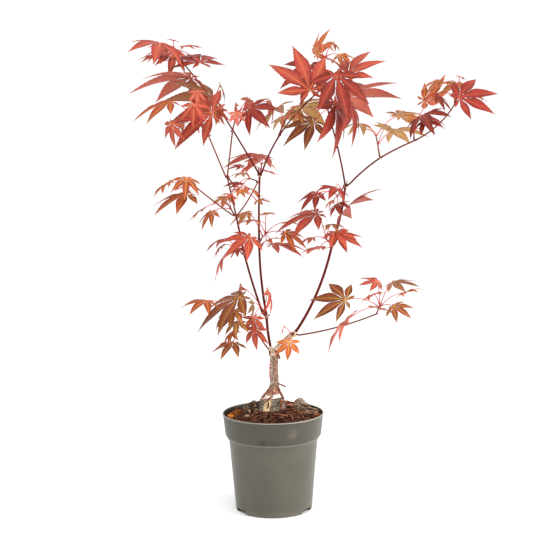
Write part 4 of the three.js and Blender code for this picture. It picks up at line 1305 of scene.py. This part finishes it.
# The stump's foot in the mix, which the litter keeps clear of
STUMP = SimpleNamespace(middle=-2, wide=15, deep=13)
FIBRES = SimpleNamespace(count=760, length=(8, 24), radius=(0.25, 0.72), rise=2.8, steps=5)
CRUMBS = SimpleNamespace(count=1100, size=(0.8, 2.2))
CHIPS = SimpleNamespace(count=160, length=(3, 9), width=(1.2, 3.2))
# Heaps of shredded bark: middle, spread, rise, count, length of a shred, how the shreds lie and how far
# they stray from it, in turns, and their two colours
HEAPS = [
    ((-27, 10), (12, 16), 12, 150, (5, 13), (0, 1), "44301f", "bc9c82"),
    ((20, 26), (9, 15), 11, 100, (5, 13), (0, 1), "3c1e16", "a86e54"),
    ((35, 28), (12, 14), 12, 130, (6, 15), (-0.1, 0.6), "46342a", "c4a890"),
    ((49, 14), (8, 14), 6, 46, (10, 20), (-0.12, 0.1), "3e2a1c", "c8a284"),
    ((-54, -7), (3, 14), 2.6, 34, (4, 10), (0.1, 0.2), "8a4a18", "cc8a3c"),
    ((-46, 17), (4, 13), 3, 44, (4, 10), (0.1, 0.3), "8a4a18", "cc8a3c"),
    ((56, -2), (4, 8), 2.6, 22, (4, 8), (-0.1, 0.2), "96501c", "d08c40"),
    ((0, 20), (22, 14), 4, 60, (3, 9), (0, 1), "2a1811", "7a5240"),
]
SHRED = SimpleNamespace(width=(1.0, 3.0), thick=(0.6, 1.5), tilt=0.7, short=3.4)


def soil_height(x, y):
    """Height of the mix: level at the wall, heaped round the trunk, with clods."""
    r = math.hypot(x, y)
    fall = step(r, SOIL.crown_radius, SOIL.heap_radius)
    wave = math.sin(x * 0.31 + 1) * math.cos(y * 0.27) + 0.6 * math.sin(y * 0.5 - x * 0.13)
    clods = noise.noise(Vector((x, y, 0)) / CLODS.coarse) + 0.5 * noise.noise(Vector((x, y, 9)) / CLODS.fine)
    smooth = SOIL.crown + (SOIL.level - SOIL.crown) * fall
    return smooth + CLODS.wave * fall * wave + CLODS.height * clods * (0.4 + 0.6 * fall)


# The radius of the mix at the wall
MIX_RADIUS = POT.rim - POT.lip_depth - POT.wall - 0.7


def build_soil():
    """The heaped surface of the mix, closed below by the shape of the pot's inside."""
    radii = np.linspace(MIX_RADIUS, 0, SOIL.rings)
    profile = [(0, POT.floor + 0.3), (POT.foot - POT.wall - 0.6, POT.floor + 0.3),
               (POT.body_top - POT.wall - 0.6, POT.body_top_height + 1),
               (POT.band_foot - POT.wall - 0.6, POT.band_foot_height + 1)]
    bm = spun(profile + [(radius, SOIL.level) for radius in radii], SOIL.steps)
    for vert in bm.verts:
        if vert.co.z > (SOIL.level - 0.1) * MM:
            vert.co.z = soil_height(vert.co.x / MM, vert.co.y / MM) * MM
    finish_piece("potting_mix", mesh_from("potting_mix", bm), soil_material(), "potting_mix", "soil")


def soil_material():
    """Moist peat and fine bark: dark red brown, matt and grainy."""
    material, tree, shader = new_material("peat_and_bark_mix")
    place = node(tree, "TexCoord", None, "Object")
    clods = node(tree, "TexNoise", {"Vector": place, "Scale": fineness(5), "Detail": 4.0})
    grit = node(tree, "TexNoise", {"Vector": place, "Scale": fineness(0.9), "Detail": 3.0})
    heaped = node(tree, "MapRange", {0: clods, 1: 0.3, 2: 0.7, 3: 0.0, 4: 1.0}, **SOFT)
    crumbs = node(tree, "MapRange", {0: grit, 1: 0.5, 2: 0.75, 3: 0.0, 4: 0.5}, **SOFT)
    colour = "170b07"
    for share, tint in ((heaped, "3c2017"), (crumbs, "5c3626")):
        colour = node(tree, "Mix", {0: share, 6: colour, 7: tint}, 2, **TINT)
    relief = node(tree, "Math", {0: clods, 1: grit}, operation="ADD")
    bump = node(tree, "Bump", {"Height": relief, "Distance": 0.8 * MM, "Strength": 0.9})
    feed(tree, shader, {"Base Color": colour, "Roughness": 0.95, "IOR": 1.33, "Specular IOR Level": 0.2})
    feed(tree, shader, {"Normal": bump})
    return material


def litter_place(random):
    """An even random place on the mix, clear of the trunk's foot."""
    while True:
        r = MIX_RADIUS * math.sqrt(random())
        turn = 2 * math.pi * random()
        x, y = r * math.cos(turn), r * math.sin(turn)
        if math.hypot((x - STUMP.middle) / STUMP.wide, y / STUMP.deep) > 1 and r < MIX_RADIUS - 1.5:
            return x, y


def span_of(limits, random):
    """A random size between two limits."""
    return limits[0] + (limits[1] - limits[0]) * random()


def add_fibre(parts, random):
    """A thin bent strand that lies on the mix, and turns back where it meets the wall."""
    x, y = litter_place(random)
    turn, bend = 2 * math.pi * random(), 1.6 * (random() - 0.5)
    length, radius = span_of(FIBRES.length, random), span_of(FIBRES.radius, random)
    rise = FIBRES.rise * random()
    path = []
    for i in range(FIBRES.steps + 1):
        lift = 0.25 + rise * math.sin(math.pi * i / FIBRES.steps)
        path.append(np.array([x, y, soil_height(x, y) + lift]))
        x += length / FIBRES.steps * math.cos(turn)
        y += length / FIBRES.steps * math.sin(turn)
        turn += bend / FIBRES.steps + 0.3 * (random() - 0.5)
        if math.hypot(x, y) > MIX_RADIUS - 1:
            turn += 1.2
            x, y = 0.96 * path[-1][0], 0.96 * path[-1][1]
    stalk_mesh(parts, path, [radius] * 4 + [0.9 * radius, 0.5 * radius], 4, tone=random())


# Six corners of a lump and its eight faces
OCTAHEDRON = np.array([(1, 0, 0), (0, 1, 0), (-1, 0, 0), (0, -1, 0), (0, 0, 1), (0, 0, -1)], float)
OCTAHEDRON_FACES = [(0, 1, 4), (1, 2, 4), (2, 3, 4), (3, 0, 4), (1, 0, 5), (2, 1, 5), (3, 2, 5), (0, 3, 5)]


def add_lump(parts, random, wide, deep, high):
    """A crumb or chip: an uneven block pressed into the mix."""
    x, y = litter_place(random)
    turn, tilt = 2 * math.pi * random(), 0.7 * (random() - 0.5)
    spin = Matrix.Rotation(turn, 3, "Z") @ Matrix.Rotation(tilt, 3, "Y")
    spin = spin @ Matrix.Rotation(0.8 * random(), 3, "X")
    corners = OCTAHEDRON * np.array([0.7 + 0.6 * random() for _ in range(6)])[:, None] * (wide, deep, high)
    points = corners @ np.array(spin).T + (x, y, soil_height(x, y) + 0.3 * high)
    faces = [tuple(parts.count + i for i in face) for face in OCTAHEDRON_FACES]
    parts.add(points, faces, tone=random())


# A shred from end to end: how far along it, as a share of half its length, and how full it is there
SHRED_ROWS = np.array([(-1, 0.35), (-0.35, 1.0), (0.4, 0.9), (1, 0.3)])


def add_shred(parts, random, middle, spread, rise, length, lie, stray):
    """A split shred of bark, thinner at its ends, lying on its heap."""
    turn, share = 2 * math.pi * random(), math.sqrt(random())
    x = middle[0] + spread[0] * share * math.cos(turn)
    y = middle[1] + spread[1] * share * math.sin(turn)
    far = math.hypot(x, y) / (MIX_RADIUS - 2.5)
    if far > 1:
        x, y = x / far, y / far
    half = span_of(length, random) / 2
    wide, thick = span_of(SHRED.width, random) / 2, span_of(SHRED.thick, random) / 2
    bend = 0.25 * half * (random() - 0.5)
    corners = []
    for along, full in SHRED_ROWS:
        for side, up in ((-1, -1), (1, -1), (1, 1), (-1, 1)):
            uneven = 0.75 + 0.5 * random()
            off = side * wide * full * uneven + bend * along * along
            corners.append((along * half, off, up * thick * full))
    facing = 2 * math.pi * (lie + stray * (random() - 0.5))
    tilt = SHRED.tilt * min(1, SHRED.short / half) * (2 * random() - 1)
    spin = Matrix.Rotation(facing, 3, "Z") @ Matrix.Rotation(tilt, 3, "Y")
    spin = spin @ Matrix.Rotation(random() - 0.5, 3, "X")
    base = soil_height(x, y) + thick + rise * (1 - share * share) * (0.35 + 0.65 * random())
    points = np.array(corners) @ np.array(spin).T + (x, y, base)
    faces = [(0, 3, 2, 1), (15, 12, 13, 14)]
    for row in (0, 4, 8):
        faces += [(row + i, row + (i + 1) % 4, row + 4 + (i + 1) % 4, row + 4 + i) for i in range(4)]
    parts.add(points, [tuple(parts.count + i for i in face) for face in faces], tone=random())


def build_litter():
    """Fibres, crumbs and flat chips on the mix, and heaps of shredded bark."""
    random = random_from(SEED.litter)
    fibres, crumbs, chips = Parts("tone"), Parts("tone"), Parts("tone")
    for _ in range(FIBRES.count):
        add_fibre(fibres, random)
    for _ in range(CRUMBS.count):
        size = span_of(CRUMBS.size, random)
        add_lump(crumbs, random, size, size * 0.9, size * 0.75)
    for _ in range(CHIPS.count):
        add_lump(chips, random, span_of(CHIPS.length, random) / 2, span_of(CHIPS.width, random) / 2, 0.6)
    for name, parts, dark, light in (
        ("fibres", fibres, "2a120a", "a06a4e"),
        ("crumbs", crumbs, "1a0c07", "4e2a1a"),
        ("chips", chips, "321a10", "96664a"),
    ):
        mesh, material = parts.mesh("mix_" + name), litter_material("peat_" + name, dark, light)
        finish_piece("mix_" + name, mesh, material, "potting_mix", smooth=name == "fibres")
    for number, (middle, spread, rise, count, length, lies, dark, light) in enumerate(HEAPS, 1):
        parts, name = Parts("tone"), "bark_heap_%d" % number
        for _ in range(count):
            add_shred(parts, random, middle, spread, rise, length, *lies)
        material = litter_material("shredded_" + name, dark, light)
        finish_piece(name, parts.mesh(name), material, "bark_pieces", smooth=False)


def litter_material(name, dark, light):
    """Dry shreds, strands and crumbs, each of its own shade between two browns: matt and fibrous."""
    material, tree, shader = new_material(name)
    tone = node(tree, "Attribute", None, "Fac", attribute_name="tone")
    place = node(tree, "TexCoord", None, "Object")
    grit = node(tree, "TexNoise", {"Vector": place, "Scale": fineness(1.2), "Detail": 3.0})
    share = node(tree, "Math", {0: tone, 1: 2.0}, operation="POWER")
    lit = node(tree, "Math", {0: grit, 1: 0.45}, operation="ADD")
    share = node(tree, "Math", {0: share, 1: lit}, operation="MULTIPLY")
    colour = node(tree, "Mix", {0: share, 6: dark, 7: light}, 2, **TINT)
    bump = node(tree, "Bump", {"Height": grit, "Distance": 0.2 * MM, "Strength": 0.6})
    feed(tree, shader, {"Base Color": colour, "Roughness": 0.9, "IOR": 1.4, "Specular IOR Level": 0.2})
    feed(tree, shader, {"Normal": bump})
    return material


# Bark pieces on the mix

# Turn, tilt, length, width and height of each, how far it narrows upwards, and its two colours
BARK = {
    "bark_lump": (20, 8, (18, 15, 16), 0.55, "46362b", "b09a84"),
    "bark_long_chip": (112, -6, (36, 6.5, 4.4), 0.2, "5a4436", "b09680"),
    "bark_red_chip": (60, 10, (13, 9, 10), 0.5, "40221a", "8e5a46"),
    "bark_grey_chip": (100, 8, (14, 11, 13), 0.5, "3e332a", "9c8a78"),
    "bark_back_chip": (-25, 8, (12, 9, 7), 0.5, "34201a", "6d4434"),
    "bark_pale_chip": (35, 5, (6, 3, 2), 0.1, "8a6a50", "d4b492"),
}


# How boxy a piece is, and how far its layers, lumps and grit stand out, as shares of its size
BARK_FORM = SimpleNamespace(boxy=3.2, layers=0.16, lumps=0.3, grit=0.06)


def bark_form(name, turn, tilt, size, narrowing):
    """A split piece of bark: angular, layered along its length and narrower upwards."""
    low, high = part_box(name)
    middle = (low + high) / 2
    bm = bmesh.new()
    bmesh.ops.create_icosphere(bm, subdivisions=5, radius=1)
    spin = Matrix.Rotation(math.radians(turn), 4, "Z") @ Matrix.Rotation(math.radians(tilt), 4, "Y")
    for vert in bm.verts:
        x, y, z = vert.co
        boxy = sum(abs(side) ** BARK_FORM.boxy for side in (x, y, z)) ** (-1 / BARK_FORM.boxy)
        layers = noise.noise(Vector((x * 1.2, y * 3 + 7, z * 8)) + middle * 300)
        lumps = noise.noise(Vector((x, y, z)) * 1.8 + middle * 500)
        grit = noise.noise(Vector((x, y, z)) * 9 + middle * 700)
        uneven = 1 + BARK_FORM.layers * layers + BARK_FORM.lumps * lumps + BARK_FORM.grit * grit
        reach = boxy * uneven * 0.5
        slim = 1 - narrowing * (z + 1) / 2
        vert.co = Vector((x * size[0] * slim, y * size[1] * slim, z * size[2])) * reach * MM
    bmesh.ops.transform(bm, matrix=Matrix.Translation(middle) @ spin, verts=bm.verts[:])
    return bm


def build_bark():
    """The large pieces of bark, each in place of its solid."""
    for name, (turn, tilt, size, narrowing, dark, light) in BARK.items():
        own = name.replace("bark_", "split_")
        mesh = mesh_from(own, bark_form(name, turn, tilt, size, narrowing))
        finish_piece(own, mesh, bark_material("split_" + name, dark, light), "bark_pieces", name)


def bark_material(name, dark, light):
    """Split bark, dry and corky: fine layers with dark gaps between them."""
    material, tree, shader = new_material(name)
    place = node(tree, "TexCoord", None, "Object")
    layered = node(tree, "Mapping", {"Vector": place, "Scale": (1, 0.5, 2)})
    layers = node(tree, "TexNoise", {"Vector": layered, "Scale": fineness(2.4), "Detail": 5.0})
    grit = node(tree, "TexNoise", {"Vector": place, "Scale": fineness(0.7), "Detail": 3.0})
    share = node(tree, "MapRange", {0: layers, 1: 0.34, 2: 0.66, 3: -0.1, 4: 0.8}, **SOFT)
    share = node(tree, "Math", {0: grit, 1: 0.4, 2: share}, operation="MULTIPLY_ADD", use_clamp=True)
    colour = node(tree, "Mix", {0: share, 6: dark, 7: light}, 2, **TINT)
    relief = node(tree, "Math", {0: layers, 1: grit}, operation="ADD")
    bump = node(tree, "Bump", {"Height": relief, "Distance": 0.5 * MM, "Strength": 0.8})
    feed(tree, shader, {"Base Color": colour, "Roughness": 0.88, "IOR": 1.4, "Normal": bump})
    return material


# Stage, light and camera

# Square soft lights: place and target in metres, side and power in watts
LIGHTS = {
    "overhead": ((-0.2, -1.3, 2.0), (0, 0, 0.4), 1.3, 20),
    "right_side": ((1.5, -0.5, 0.7), (0, 0, 0.2), 1.0, 25),
}
# The photograph's view: 1.8 m in front, a little above the plant's top, looking down
CAMERA = SimpleNamespace(lens=93.45, place=(0.0061, -1.8, 0.5445), look_down=7.70, roll=-0.56)


def build_stage():
    """A floor of pale paper under an even white sky."""
    bm = bmesh.new()
    bmesh.ops.create_grid(bm, x_segments=1, y_segments=1, size=4)
    floor = placed("studio_floor", mesh_from("studio_floor", bm))
    material, tree, shader = new_material("white_studio_paper")
    feed(tree, shader, {"Base Color": "f9f9f9", "Roughness": 0.95})
    floor.data.materials.append(material)
    world = bpy.data.worlds.new("studio")
    world.use_nodes = True
    sky = world.node_tree.nodes["Background"]
    feed(world.node_tree, sky, {"Color": "ffffff", "Strength": 1.08})
    bpy.context.scene.world = world


def build_lights():
    for name, (place, target, side, power) in LIGHTS.items():
        light = bpy.data.lights.new(name, "AREA")
        light.shape = "SQUARE"
        light.size = side
        light.energy = power
        holder = placed(name, light)
        holder.location = place
        holder.rotation_euler = (Vector(target) - Vector(place)).to_track_quat("-Z", "Y").to_euler()


def build_camera():
    camera = bpy.data.cameras.new("camera")
    camera.lens = CAMERA.lens
    holder = placed("camera", camera)
    holder.location = CAMERA.place
    pitch = Matrix.Rotation(math.radians(90 - CAMERA.look_down), 4, "X")
    holder.rotation_euler = (pitch @ Matrix.Rotation(math.radians(CAMERA.roll), 4, "Z")).to_euler()
    bpy.context.scene.camera = holder


def build_all():
    limbs, leaders = grow_limbs()
    sprays = grow_sprays(limbs, leaders)
    grow_fresh(sprays, limbs)
    build_leaves(sprays)
    build_stalks(sprays, limbs)
    build_stems(limbs)
    build_trunk(limbs)
    build_pot()
    build_soil()
    build_litter()
    build_bark()
    build_stage()
    build_lights()
    build_camera()
    bpy.context.scene.view_settings.view_transform = "Standard"


build_all()
